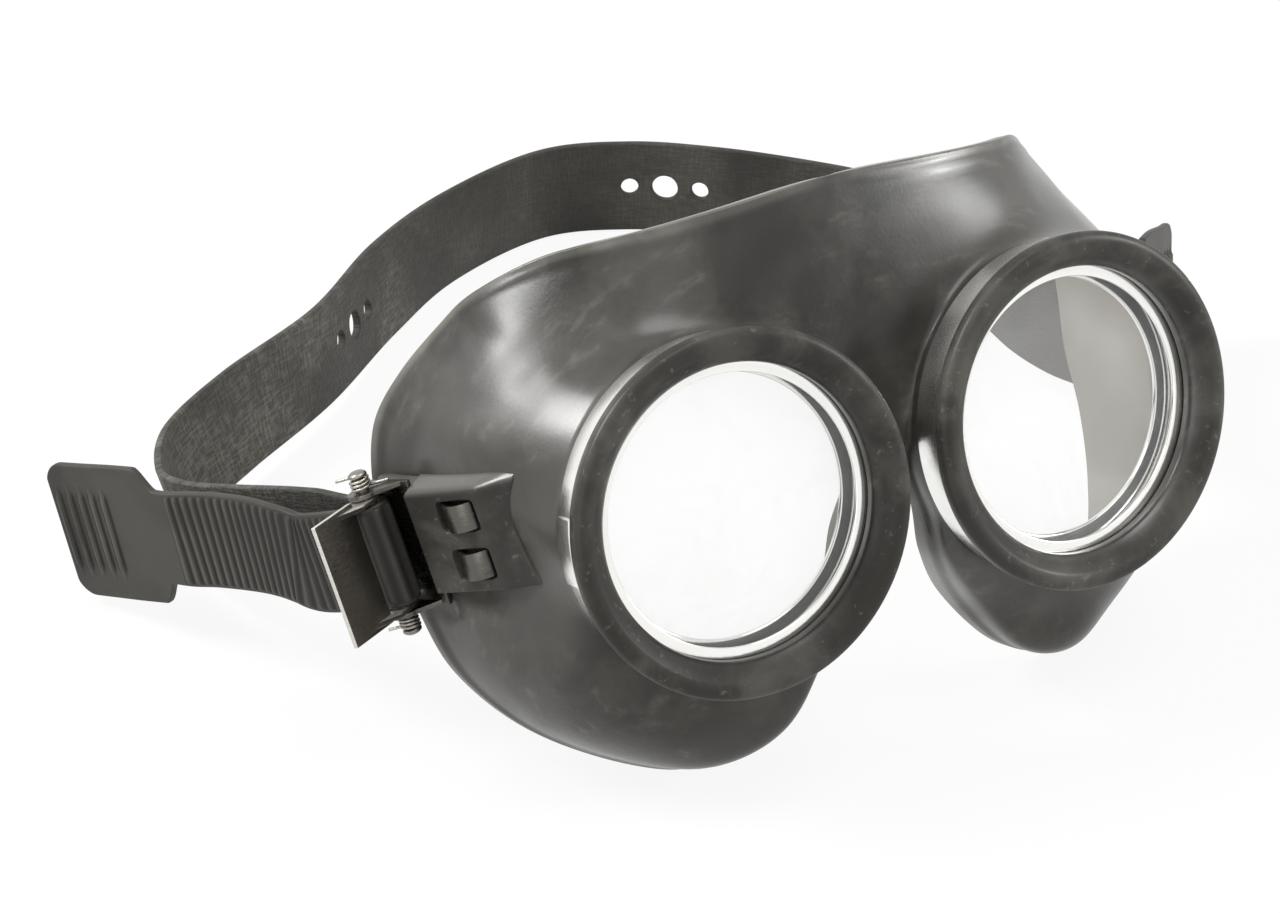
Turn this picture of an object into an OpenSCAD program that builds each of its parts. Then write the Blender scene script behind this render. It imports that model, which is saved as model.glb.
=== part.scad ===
// Rubber safety goggles with two round lenses, spring-clip buckles and a one-piece rubber headband.
// The face piece is drawn in its own frame, with the lens openings upright and facing -Y, and is
// then leaned back and lifted so that it rests on its cheek rims and on the back of the headband.

/* [Lens openings] */
// Distance between the centres of the two lens openings
lens_gap = 65.6; // [62:0.2:72]
// Inside diameter of each opening in the rubber
opening_d = 47.6; // [46:0.2:48.6]
// Outward turn of each opening from straight ahead, in degrees
toe_out = 3.2; // [0:0.2:8]
// Radial width of the rubber flange round each opening
flange_w = 5.9; // [5.4:0.1:6.4]
// Distance by which the flange stands in front of the lip round the glass
flange_out = 3.1; // [2.4:0.1:3.4]
// Depth of the groove behind the flange, where the clamp band lies
groove_h = 2.2; // [1.8:0.1:2.6]
// Length of the neck from the face of the opening back to the skirt
neck_l = 8; // [7.4:0.1:9]
// Thickness of the rubber lip in front of the lens pocket
lip_t = 1.4; // [1:0.1:1.8]

/* [Lens stack] */
// Running clearance between the parts of the lens stack
stack_gap = 0.15; // [0.1:0.01:0.25]
// Radial width by which the seat ring reaches under the lip
seat_bite = 1.4; // [1.2:0.1:1.6]
// Sheet thickness of the metal seat ring
seat_t = 0.7; // [0.5:0.05:0.9]
// Radial width of the seat ring's front face
seat_face = 3.2; // [2.6:0.1:3.6]
// Thickness of the lens glass
glass_t = 2; // [1.6:0.1:2.3]
// Thickness of the clear inner disc
disc_t = 0.8; // [0.5:0.1:1]
// Thickness of the split snap ring behind the discs
snap_t = 1; // [0.7:0.1:1.2]
// Radial width of the snap ring
snap_w = 2.9; // [2:0.1:3.4]
// Opening of the split in the snap ring, in degrees
snap_split = 7; // [3:1:20]

/* [Clamp band] */
// Width of the metal band round the neck
band_w = 5.6; // [4.4:0.1:6]
// Sheet thickness of the band
band_t = 0.5; // [0.4:0.05:0.6]
// Length of the overlapped end, in degrees
band_lap = 22; // [14:1:32]

/* [Skirt] */
// Wall thickness of the rubber skirt
wall = 2; // [1.6:0.1:2.4]
// Height of the bead along the rim
bead = 0.5; // [0.3:0.1:0.8]
// Height of the top of the rim above the lens centres
brow_h = 45.8; // [44.6:0.2:48]
// Drop of the cheek rim below the lens centres
cheek_h = 45.6; // [44.8:0.2:47]
// Half width of the rim across the temples
temple_x = 70; // [69:0.2:72]
// Distance from the lens faces back to the temple rim
temple_y = 53; // [51.5:0.5:55]

/* [Lugs] */
// Height of the raised pad that holds each buckle
lug_h = 20.6; // [20:0.2:22]
// Length of the raised pad
lug_l = 23; // [21:0.5:25]
// Height of each window in the pad
window_h = 5.2; // [5:0.1:6]
// Length of each window in the pad
window_l = 8; // [7:0.2:9]

/* [Buckles] */
// Sheet thickness of the base plate and the lever
plate_t = 0.8; // [0.6:0.05:1]
// Height of each tongue of the base plate
tongue_h = 4.6; // [4:0.1:4.8]
// Distance between the two tongues
tongue_gap = 8.3; // [7.8:0.1:9]
// Outside diameter of the arch at the end of each tongue
roll_d = 6.8; // [6.4:0.1:7.2]
// Diameter of the hinge pin
pin_d = 2; // [1.8:0.1:2.2]
// Outside diameter of the roller that the headband turns round
roller_d = 3.2; // [3:0.1:3.6]
// Running clearance of the roller and the lever on the pin
pin_gap = 0.08; // [0.05:0.01:0.1]
// Length of the thumb plate from the pin
lever_l = 14; // [13:0.2:16]
// Height of the thumb plate
lever_h = 21; // [20.4:0.1:22]
// Wire diameter of the torsion springs
spring_wire = 0.5; // [0.4:0.05:0.6]
// Turns in each torsion spring
spring_turns = 3; // [2:1:3]

/* [Headband] */
// Width of the band round the head
band_h = 20; // [18.4:0.2:20]
// Width of the ribbed ends
end_h = 17.5; // [16.8:0.1:17.6]
// Thickness of the band without its ribs
strap_t = 1.5; // [1.3:0.1:1.6]
// Height of the ribs
rib_h = 0.35; // [0.2:0.05:0.4]
// Distance from rib to rib
rib_pitch = 2; // [1.9:0.05:2.4]
// Clearance between the headband and the roller
strap_gap = 0.2; // [0.15:0.01:0.3]
// Length of each pull tab
tab_l = 26; // [20:0.5:28]
// Smooth length between a pull tab and the first rib
rib_start = 2.5; // [1:0.1:4]
// Width of each pull tab
tab_h = 25.4; // [24:0.2:25.6]
// Distance between the grip ridges on a pull tab
grip_pitch = 2.8; // [2.4:0.1:3]
// Distance from the end of a pull tab to its first grip ridge
grip_start = 2; // [1.8:0.1:3.4]
// Length of each grip ridge
grip_l = 15; // [10:0.5:16]
// Diameter of the large holes in the headband
hole_d = 5.5; // [4:0.1:6.5]
// Diameter of the small holes in the headband
small_d = 3.7; // [2.5:0.1:4.2]
// Distance from a large hole to the small one beside it
hole_gap = 7.5; // [7:0.1:9]

/* [Stand] */
// Backward lean of the face piece as it lies on a table, in degrees
lean_back = 16.9; // [16.2:0.1:17.6]
// Move that brings the middle of the whole object over the origin
stand_shift = [-11.6, -92.4, 0];

/* [Hidden] */
$fn = 64;
eps = 0.01;

// Rigid moves as matrices, so that modules and computed points share them
function mv(v) = [[1, 0, 0, v.x], [0, 1, 0, v.y], [0, 0, 1, v.z], [0, 0, 0, 1]];
function rx(a) = [[1, 0, 0, 0], [0, cos(a), -sin(a), 0], [0, sin(a), cos(a), 0], [0, 0, 0, 1]];
function ry(a) = [[cos(a), 0, sin(a), 0], [0, 1, 0, 0], [-sin(a), 0, cos(a), 0], [0, 0, 0, 1]];
function rz(a) = [[cos(a), -sin(a), 0, 0], [sin(a), cos(a), 0, 0], [0, 0, 1, 0], [0, 0, 0, 1]];
function mx(side) = [[-side, 0, 0, 0], [0, 1, 0, 0], [0, 0, 1, 0], [0, 0, 0, 1]];
function at(m, p) = let (q = m * [p.x, p.y, p.z, 1]) [q.x, q.y, q.z];
function along(m, v) = let (q = m * [v.x, v.y, v.z, 0]) [q.x, q.y, q.z];
function unit(v) = v / norm(v);
function ease(x) = let (c = max(0, min(1, x))) c * c * (3 - 2 * c);

// The face piece's frame on the table. Side -1 is the wearer's right, at -X, and +1 its mirror image.
module on_stand() multmatrix(stand_m) children();
module on_side(side) on_stand() mirror([side > 0 ? 1 : 0, 0, 0]) children();

// Radii and depths of the flange, the groove and the lens stack, counted from the opening's face
opening_r = opening_d / 2;
flange_r = opening_r + flange_w;
flange_t = 3;
collar_r = flange_r - groove_h;
seat_r = opening_r + seat_bite;
pocket_r = seat_r + stack_gap;
bore_r = seat_r - seat_t;
seat_front = lip_t + stack_gap;
glass_front = seat_front + seat_t + stack_gap;
disc_front = glass_front + glass_t + stack_gap;
snap_front = disc_front + disc_t + stack_gap;
pocket_back = snap_front + snap_t + 2 * stack_gap;
retain_r = opening_r + 0.5;

// One lens opening's own frame: Z forward out of the opening, X outward to the temple
module at_lens(side) on_side(side) translate([-lens_gap / 2, 0, 0]) rotate([90, 0, -toe_out])
    children();

module clamp_band(side) color([0.68, 0.69, 0.68]) at_lens(side) {
    r = collar_r + stack_gap;
    z = flange_out - flange_t - 0.7 - band_w;
    lap = band_lap;
    gap = 8;
    // the band meets its own end under the lap, in front of the temple
    translate([0, 0, z]) rotate([0, 0, 180 + gap / 2])
        rotate_extrude(angle = 360 - gap) translate([r, 0]) square([band_t, band_w]);
    translate([0, 0, z]) rotate([0, 0, 180 - lap / 2]) rotate_extrude(angle = lap)
        translate([r + band_t, 0]) square([band_t, band_w * 0.82]);
    translate([0, 0, z]) rotate([0, 0, 180 - lap / 2]) rotate_extrude(angle = lap / 2 - gap / 2)
        translate([r + band_t / 2, 0]) square([band_t, band_w * 0.82]);
}

module seat_ring(side) color([0.74, 0.74, 0.72]) at_lens(side) rotate_extrude() {
    translate([seat_r - seat_face, -seat_front - seat_t]) square([seat_face, seat_t]);
    translate([bore_r, -pocket_back + stack_gap])
        square([seat_t, pocket_back - stack_gap - seat_front]);
}

module lens_glass(side) color([0.80, 0.84, 0.84, 0.35]) at_lens(side)
    translate([0, 0, -glass_front - glass_t]) cylinder(r = bore_r - stack_gap, h = glass_t);

module clear_disc(side) color([0.86, 0.88, 0.86, 0.35]) at_lens(side)
    translate([0, 0, -disc_front - disc_t]) cylinder(r = bore_r - stack_gap, h = disc_t);

module snap_ring(side) color([0.78, 0.78, 0.76]) at_lens(side)
    translate([0, 0, -snap_front - snap_t]) rotate([0, 0, 92 + snap_split / 2])
        rotate_extrude(angle = 360 - snap_split)
            translate([bore_r - stack_gap - snap_w, 0]) square([snap_w, snap_t]);

// Skirt of one half, at +X: a fan of cubic curves from the neck circle to the rim and the middle line
function ring_pt(r, d, a) = [lens_gap / 2, 0, 0] + r * [cos(a) * cos(toe_out), cos(a) * sin(toe_out), sin(a)]
    + d * [sin(toe_out), -cos(toe_out), 0];

// Rim from the brow's middle out over the temple, under the cheek and up to the nose bridge
rim = [[0, 13, brow_h], [20, 14.5, brow_h - 1.2], [36.5, 19.9, brow_h - 2.7], [46, 28, brow_h - 4.4],
    [temple_x - 16, temple_y - 15, brow_h - 9.4], [temple_x - 12, temple_y - 9, brow_h - 14.5],
    [temple_x - 6.5, temple_y - 3.4, 24], [temple_x - 1.5, temple_y - 1, 16], [temple_x, temple_y, 5],
    [temple_x - 1, temple_y - 1.5, -4], [temple_x - 2, temple_y - 5, -15], [temple_x - 5, temple_y - 9, -26],
    [temple_x - 12.6, temple_y - 16.4, 9.4 - cheek_h], [45, 28.5, 1.8 - cheek_h], [35, 23.2, -cheek_h],
    [24, 21.5, 4.8 - cheek_h], [15, 21, -30], [9, 16, -20], [6.6, 13, -10], [0, 9, 0.5]];
// Middle line from the nose bridge back up to the brow
mid = [rim[len(rim) - 1], [0, 8.6, 8], [0, 8.5, 17], [0, 8.6, 27], [0, 10, 37], rim[0]];

rim_steps = 3;
mid_steps = 2;
rim_n = (len(rim) - 1) * rim_steps;
mid_n = (len(mid) - 1) * mid_steps;
na = rim_n + mid_n;
nt = 8;

// Catmull-Rom curve through the points of a list; ghosts mirror the neighbours across X = 0
function cr(p0, p1, p2, p3, t) = 0.5 * (2 * p1 + (p2 - p0) * t
    + (2 * p0 - 5 * p1 + 4 * p2 - p3) * t * t + (3 * p1 - p0 - 3 * p2 + p3) * t * t * t);
function flip(p) = [-p.x, p.y, p.z];
function rim_at(u) = let (n = len(rim), k = min(floor(u), n - 2))
    cr(k > 0 ? rim[k - 1] : flip(rim[1]), rim[k], rim[k + 1], k < n - 2 ? rim[k + 2] : flip(rim[n - 2]), u - k);
function mid_at(u) = let (n = len(mid), k = min(floor(u), n - 2))
    cr(k > 0 ? mid[k - 1] : 2 * mid[0] - mid[1], mid[k], mid[k + 1],
        k < n - 2 ? mid[k + 2] : 2 * mid[n - 1] - mid[n - 2], u - k);

function wrap_i(i) = (i + na) % na;
function on_mid(i) = let (k = wrap_i(i)) k == 0 || k >= rim_n;
edge = [for (i = [0:na - 1]) i <= rim_n ? rim_at(i / rim_steps) : mid_at((i - rim_n) / mid_steps)];
angle = [for (p = edge) let (a = atan2(p.z, p.x - lens_gap / 2)) a > 178.5 && p.z < 1 ? a - 360 : a];

back = [-sin(toe_out), cos(toe_out), 0];
// Direction in which a curve reaches its end: along the skin that crosses the middle line, and turned back at the rim
mid_slope = (mid[5].y - mid[4].y) / (mid[5].z - mid[4].z);
function mid_dir(c, z) = let (up = unit([0, mid_slope * ease((z - 20) / 24), 1]))
    unit([c.x, 0, 0] + (c * up) * up);
function end_dir(p0, p3, k) = let (c = unit(p3 - p0), m = p3.z > 0 ? ease(1 - p3.x / 36) : max(0, 1 - p3.x / 12))
    unit(m * (p3.z > 0 ? mid_dir(c, p3.z) : [-1, 0, 0])
        + (1 - m) * unit((0.95 - 0.6 * k) * c + (0.35 + 0.65 * k) * back));
// Above the pads the skirt is fuller: it spreads sooner behind the neck and turns back at the rim
function temple(a) = ease((a + 8) / 24) * ease((80 - a) / 40);
// Below the temples the skirt is a full cup: it leaves the neck sideways and reaches the rim turned back
function full(a) = ease(-a / 45) * ease((a + 172) / 35);
curves = [for (i = [0:na - 1]) let (a = angle[i], p0 = ring_pt(collar_r, -neck_l, a), p3 = edge[i],
        out = ring_pt(1, 0, a) - ring_pt(0, 0, a), l = norm(p3 - p0), b = max(1, (p3 - p0) * back),
        w = full(a), g = ease((-a - 70) / 40), k = temple(a))
    [p0, p0 + back * (0.45 - 0.37 * w - 0.22 * k) * b + out * 0.13 * k * b
            + out * w * (0.72 + 0.7 * g) * ((p3 - p0) * out),
        p3 - end_dir(p0, p3, k) * (1 - w) * (0.36 + 0.12 * k) * l - back * w * (0.6 + 0.25 * g) * b, p3]];
function skirt(i, t) = let (c = curves[wrap_i(i)], s = 1 - t)
    s * s * s * c[0] + 3 * s * s * t * c[1] + 3 * s * t * t * c[2] + t * t * t * c[3];
function skirt_n(i, t) = let (
        along_rim = skirt(i + 1, t) - skirt(i - 1, t),
        out = skirt(i, min(1, t + 0.04)) - skirt(i, max(0, t - 0.04)),
        n = unit(cross(along_rim, out)))
    on_mid(i) && t > 0.99 ? unit([0, n.y, n.z]) : n;
function step_t(j) = let (u = j / nt) u * (0.7 + 0.3 * u);

// Section of the moulding at one station, as a closed loop from the neck over the rim and back inside
function section(i) = let (a = angle[i]) concat(
    [for (j = [0:nt - 1]) skirt(i, step_t(j))],
    [skirt(i, 1) + (on_mid(i) ? 0 : bead) * skirt_n(i, 1)],
    [skirt(i, 1) - wall * skirt_n(i, 1)],
    [for (j = [nt - 1:-1:1]) skirt(i, step_t(j)) - wall * skirt_n(i, step_t(j))],
    [for (q = [[retain_r, -pocket_back - 1.2], [retain_r, -pocket_back], [pocket_r, -pocket_back],
            [pocket_r, -lip_t], [opening_r, -lip_t], [opening_r, 0.5], [opening_r + 0.5, 1.1],
            [opening_r + 1.8, flange_out - 0.9], [opening_r + 3.1, flange_out],
            [opening_r + 4.4, flange_out + 0.2], [flange_r - 0.5, flange_out - 0.1], [flange_r, flange_out - 0.7],
            [flange_r, flange_out - flange_t + 0.6], [flange_r - 0.5, flange_out - flange_t],
            [collar_r, flange_out - flange_t]])
        ring_pt(q[0], q[1], a)]);
sections = [for (i = [0:na - 1]) section(i)];
ns = len(sections[0]);
out_j = nt;
in_j = nt + 1;

// Both halves share the two middle lines, so the moulding is one closed skin
function vid(h, i, j) = (h == 1 && on_mid(i) && (j == out_j || j == in_j) ? 0 : h * na * ns)
    + wrap_i(i) * ns + j % ns;
function quad(h, i, j) = let (a = vid(h, i, j), b = vid(h, i + 1, j), c = vid(h, i + 1, j + 1),
        d = vid(h, i, j + 1))
    h == 1 ? [[a, b, c], [a, c, d]] : [[a, c, b], [a, d, c]];
moulding_pts = concat([for (s = sections) each s], [for (s = sections) for (p = s) flip(p)]);
// Height of the lens centres above the table, on which the lowest point of the cheek rims rests
rest_h = -min([for (p = moulding_pts) cos(lean_back) * p.z - sin(lean_back) * p.y]);
stand_m = mv(stand_shift + [0, 0, rest_h]) * rx(-lean_back);
moulding_faces = [for (h = [0, 1]) for (i = [0:na - 1]) for (j = [0:ns - 1])
    if (!(j == out_j && on_mid(i) && on_mid(i + 1))) each quad(h, i, j)];

// Plug that fills the skirt to the middle of its wall, to trim what is added to the outside
plug_t = [for (j = [1:nt]) step_t(j)];
module plug() {
    n = len(plug_t);
    pts = concat([for (i = [0:na - 1]) for (t = plug_t) skirt(i, t) - wall * 0.6 * skirt_n(i, t)],
        [[lens_gap / 2, neck_l + 4, 0], [lens_gap / 2, temple_y, 0]]);
    polyhedron(pts, [for (i = [0:na - 1]) each concat(
        [for (j = [0:n - 2]) each let (a = i * n + j, b = wrap_i(i + 1) * n + j) [[a, b + 1, b], [a, a + 1, b + 1]]],
        [[na * n, i * n, wrap_i(i + 1) * n], [na * n + 1, wrap_i(i + 1) * n + n - 1, i * n + n - 1]])]);
}

// Buckle frame: origin on the hinge pin, Z up the pin, Y to the rear and -X away from the head
pin_at = [-(temple_x + 4.5), temple_y - 9.8, -2.7];
clip_turn = 14;
clip_lean = [-5.5, -7.8, 0];
clip_m = mv(pin_at) * rz(clip_turn) * ry(clip_lean.y) * rx(clip_lean.x);
module on_clip(side) on_side(side) multmatrix(clip_m) children();

// Stack across the buckle, counted inward from the pin: roller, headband, base plate and its bed
wrap_r = roller_d / 2 + strap_gap + strap_t / 2;
wrap_out = wrap_r + strap_t / 2 + rib_h;
base_x = wrap_out + 0.2;
bed_x = base_x + plate_t + 0.2;
lug_rear = -7;
lug_face = bed_x - 2.9;
tongue_end = lug_rear - 13;
tongue_up = 0.7;
// Heights of the pieces stacked along the pin
cheek_z = end_h / 2 + 0.35;
ear_z = cheek_z + plate_t + 0.2;
coil_z = ear_z + plate_t + 0.15;
coil_h = (spring_turns + 1) * spring_wire * 1.1;
head_z = coil_z + coil_h + 0.15;

module lug() difference() {
    translate([0, 0, 1.2 - lug_h / 2]) linear_extrude(lug_h) polygon([
        [lug_face, lug_rear], [lug_face + 2.1, lug_rear - 15.5], [bed_x + 2.6, lug_rear - lug_l],
        [bed_x + 6, lug_rear - lug_l], [bed_x + 6, 5], [bed_x, 5.4], [bed_x, lug_rear]]);
    // pocket for the base plate's tongues, open to the rear
    for (s = [-1, 1]) translate([base_x - 0.1, tongue_end - 2, s * tongue_gap / 2 - tongue_h / 2 - 0.15 + tongue_up])
        cube([plate_t + 0.2, lug_rear + 0.5 - tongue_end + 2, tongue_h + 0.3]);
    // windows through the outer layer
    for (s = [-1, 1]) translate([lug_face - 4, tongue_end - 1.5, s * tongue_gap / 2 - window_h / 2 + tongue_up])
        cube([base_x + plate_t + 0.1 - lug_face + 4, window_l, window_h]);
}

// Room for the buckle over the skirt
module clip_bed() translate([bed_x - 10, lug_rear, -13.5]) cube([10, 22, 27]);

module mask_body() color([0.27, 0.265, 0.25]) on_stand() {
    difference() {
        polyhedron(moulding_pts, moulding_faces, convexity = 8);
        for (side = [-1, 1]) mirror([side > 0 ? 1 : 0, 0, 0]) multmatrix(clip_m) clip_bed();
    }
    for (side = [-1, 1]) mirror([side > 0 ? 1 : 0, 0, 0]) difference() {
        multmatrix(clip_m) lug();
        mirror([1, 0, 0]) plug();
    }
}

module buckle_base(side) color([0.60, 0.60, 0.58]) on_clip(side) {
    difference() {
        union() {
            // plate under the headband
            translate([base_x, lug_rear + 0.3, -ear_z - plate_t])
                cube([plate_t, 11.5 - lug_rear - 6, 2 * (ear_z + plate_t)]);
            // ears that carry the pin
            for (s = [0, 1]) mirror([0, 0, s]) translate([0, 0, ear_z]) linear_extrude(plate_t) union() {
                circle(r = wrap_out - 0.9);
                polygon([[0, -wrap_out + 0.9], [base_x + plate_t, lug_rear + 1.6],
                    [base_x + plate_t, 4.2], [0, wrap_out - 0.9]]);
            }
        }
        cylinder(d = pin_d + 2 * pin_gap, h = 60, center = true);
    }
    // tongues through the pad, each bent outward in an arch at its end
    for (s = [-1, 1]) translate([0, 0, s * tongue_gap / 2 - tongue_h / 2 + tongue_up]) {
        translate([base_x, tongue_end + 5.4, 0]) cube([plate_t, lug_rear - 4.9 - tongue_end, tongue_h]);
        intersection() {
            translate([base_x - 2 + roll_d / 2, tongue_end + 2.6, 0]) difference() {
                cylinder(d = roll_d, h = tongue_h, $fn = 64);
                translate([0, 0, -1]) cylinder(d = roll_d - 2 * plate_t, h = tongue_h + 2, $fn = 64);
            }
            translate([base_x - 5, tongue_end - 2, 0]) cube([5 + plate_t, 10, tongue_h]);
        }
    }
}

module hinge_pin(side) color([0.66, 0.66, 0.64]) on_clip(side) {
    cylinder(d = pin_d, h = 2 * head_z, center = true);
    for (s = [0, 1]) mirror([0, 0, s]) translate([0, 0, head_z - eps])
        rotate_extrude() polygon([[0, 0], [pin_d * 0.8, 0], [pin_d * 0.8, 0.5], [pin_d * 0.5, 0.9], [0, 0.9]]);
}

module roller(side) color([0.62, 0.62, 0.60]) on_clip(side) difference() {
    cylinder(d = roller_d, h = end_h + 0.3, center = true);
    cylinder(d = pin_d + 2 * pin_gap, h = end_h + 2, center = true);
}

// Thumb plate beyond the headband's turn, on two cheeks that swing on the pin. It lies against the
// free end of the headband, which stands off further on the left
lever_a = 193;
lever_lift = 42;
lever_x = wrap_out + 0.35;
module thumb_lever(side) color([0.56, 0.56, 0.54]) on_clip(side)
        rotate([0, 0, lever_a + (side > 0 ? lever_lift : 0)]) {
    difference() {
        for (s = [0, 1]) mirror([0, 0, s]) translate([0, 0, cheek_z]) linear_extrude(plate_t - 0.1) union() {
            circle(r = wrap_out - 1.3);
            polygon([[0, -wrap_out + 1.3], [lever_x + 4.5, -0.4], [lever_x + 4.5, plate_t - 0.4],
                [lever_x, wrap_out - 0.9], [0, wrap_out - 1.3]]);
        }
        cylinder(d = pin_d + 2 * pin_gap, h = 60, center = true);
    }
    translate([lever_x, -0.4, -lever_h / 2]) cube([lever_l - lever_x, plate_t, lever_h]);
}

// Each spring is one wound wire with a tail along the ear and a tail on the thumb plate
function coil_pt(k, n, r, pitch) = [r * cos(k * 360 / n), r * sin(k * 360 / n), pitch * k / n];
module wound(turns, r, pitch, wire) {
    n = 16;
    m = 6;
    last = turns * n;
    route = [for (k = [0:last]) coil_pt(k, n, r, pitch)];
    pts = [for (k = [0:last]) let (d = [cos(k * 360 / n), sin(k * 360 / n), 0])
        for (q = [0:m - 1]) route[k] + wire / 2 * (cos(q * 360 / m) * d + sin(q * 360 / m) * [0, 0, 1])];
    e = last * m;
    polyhedron(pts, concat([for (q = [1:m - 2]) [0, q, q + 1]], [for (q = [1:m - 2]) [e, e + q + 1, e + q]],
        [for (k = [0:last - 1]) for (q = [0:m - 1]) let (a = k * m + q, b = k * m + (q + 1) % m)
            each [[a, a + m, b], [b, a + m, b + m]]]), convexity = 6);
}
module lever_springs(side) color([0.72, 0.72, 0.70]) on_clip(side)
    for (s = [0, 1]) mirror([0, 0, s]) translate([0, 0, coil_z + spring_wire / 2]) rotate([0, 0, 40])
        wound(spring_turns, pin_d / 2 + 0.25 + spring_wire / 2, spring_wire * 1.25, spring_wire);

// Headband: points of its middle line on the table, each with the direction across its width
near_free = [[[-101, 112.5, 13.2], [-0.1, 0.15, 1]], [[-98, 105, 15.4], [-0.1, 0.18, 1]],
    [[-95.2, 98, 17.5], [-0.1, 0.22, 1]], [[-92.5, 91, 19.6], [-0.12, 0.25, 1]], [[-90.5, 86, 20.9], [-0.14, 0.3, 1]],
    [[-88, 80.5, 22.8], [-0.15, 0.36, 1]], [[-85.2, 72.8, 25.2], [-0.15, 0.42, 1]],
    [[-83.5, 66, 27.1], [-0.16, 0.46, 1]], [[-82.2, 60, 28.3], [-0.16, 0.48, 1]], [[-80.6, 54, 29.4], [-0.16, 0.46, 1]]];
head = [[[-74.8, 54, 31], [-0.16, 0.4, 1]], [[-76.8, 66, 26.4], [-0.18, 0.36, 1]],
    [[-79.5, 82, 20], [-0.2, 0.28, 1]], [[-81.8, 97, 14.6], [-0.24, 0.16, 1]], [[-81, 109.5, 11.8], [-0.26, 0.06, 1]],
    [[-73.5, 123, 11.4], [-0.22, 0.12, 1]], [[-57, 134.7, 12], [-0.14, 0.2, 1]], [[-31.5, 150.8, 11.5], [-0.06, 0.12, 1]],
    [[-6.8, 172.7, 10.3], [-0.1, 0.14, 1]], [[16, 187.5, 10.1], [-0.02, 0.04, 1]], [[41.9, 195.6, 10.1], [0, 0, 1]],
    [[60, 190, 10.1], [0, 0, 1]], [[74.3, 178.1, 10.1], [0, 0, 1]], [[87, 163, 10.1], [0, 0, 1]],
    [[96, 148, 10.3], [0.03, 0, 1]], [[100, 130, 11.4], [0.1, 0, 1]], [[96.5, 111, 13.6], [0.2, 0.05, 1]],
    [[89.5, 92, 17.6], [0.2, 0.2, 1]], [[81.8, 72, 24], [0.18, 0.34, 1]], [[75.8, 55, 30.6], [0.16, 0.4, 1]]];
far_free = [[[80.6, 53.3, 30.4], [0.16, 0.4, 1]], [[86, 59, 28.2], [0.14, 0.36, 1]],
    [[92.8, 64.6, 25.6], [0.1, 0.32, 1]], [[100, 70, 22.4], [0.08, 0.28, 1]], [[106, 74.5, 19.8], [0.04, 0.24, 1]],
    [[112, 79.3, 18.2], [0, 0.2, 1]], [[118.5, 84.5, 15.5], [0, 0.16, 1]], [[124.3, 89.5, 13.2], [0, 0.14, 1]]];

// Turn round a roller, in the buckle's frame, from the outer layer to the inner one
function turn_pts(side) = [for (a = [180:30:360]) let (c = [wrap_r * cos(a), wrap_r * sin(a), 0], m = stand_m * mx(side) * clip_m)
    [at(m, c), along(m, [0, 0, 1])]];
function shifted(l) = [for (p = l) [p[0] + [stand_shift.x, stand_shift.y, 0], p[1]]];
function lead(side, x) = let (m = stand_m * mx(side) * clip_m) [[at(m, [x, 2.2, 0]), along(m, [0, 0, 1])]];
function reversed(l) = [for (i = [len(l) - 1:-1:0]) l[i]];
function upright(l) = [for (p = l) [p[0], p[1].z < 0 ? -p[1] : p[1]]];
route = upright(concat(shifted(near_free), lead(-1, -wrap_r), turn_pts(-1), lead(-1, wrap_r), shifted(head),
    lead(1, wrap_r), reversed(turn_pts(1)), lead(1, -wrap_r), shifted(far_free)));
rn = len(route);
fine = 6;
function route_at(u, q) = let (k = min(floor(u), rn - 2), f = u - k)
    cr(route[max(k - 1, 0)][q], route[k][q], route[k + 1][q], route[min(k + 2, rn - 1)][q], f);
line = [for (i = [0:(rn - 1) * fine]) route_at(i / fine, 0)];
cross_dir = [for (i = [0:(rn - 1) * fine]) route_at(i / fine, 1)];
reach = [for (i = 0, s = 0; i < len(line); s = s + (i + 1 < len(line) ? norm(line[i + 1] - line[i]) : 0), i = i + 1) s];
function track(list, q) = [for (i = [0:len(line) - 1]) [reach[i], list[i][q]]];
tracks = [for (l = [line, cross_dir]) [for (q = [0:2]) track(l, q)]];
function pick(l, s) = [for (q = [0:2]) lookup(s, tracks[l][q])];
strap_l = reach[len(reach) - 1];
// Lengths along the band at which its near and far turns lie
near_turn = reach[(len(near_free) + 4) * fine];
far_turn = reach[len(reach) - 1 - (len(far_free) + 4) * fine];

function tangent(s) = unit(pick(0, min(strap_l, s + 0.5)) - pick(0, max(0, s - 0.5)));
function across(s) = let (t = tangent(s), w = pick(1, s)) unit(w - (w * t) * t);

// Half width: rounded tip, wide tab, shoulder, narrow ribbed end and wide band
tip_r = 4;
shoulder = 4;
function half_width(e, turn) =
    e < tip_r ? tab_h / 2 - tip_r + sqrt(tip_r * tip_r - (tip_r - e) * (tip_r - e))
    : e < tab_l + 6 ? tab_h / 2 - (tab_h - end_h) / 2 * ease((e - tab_l + shoulder) / shoulder)
    : end_h / 2 + (band_h - end_h) / 2 * ease((e - turn - 9) / 14);

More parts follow.
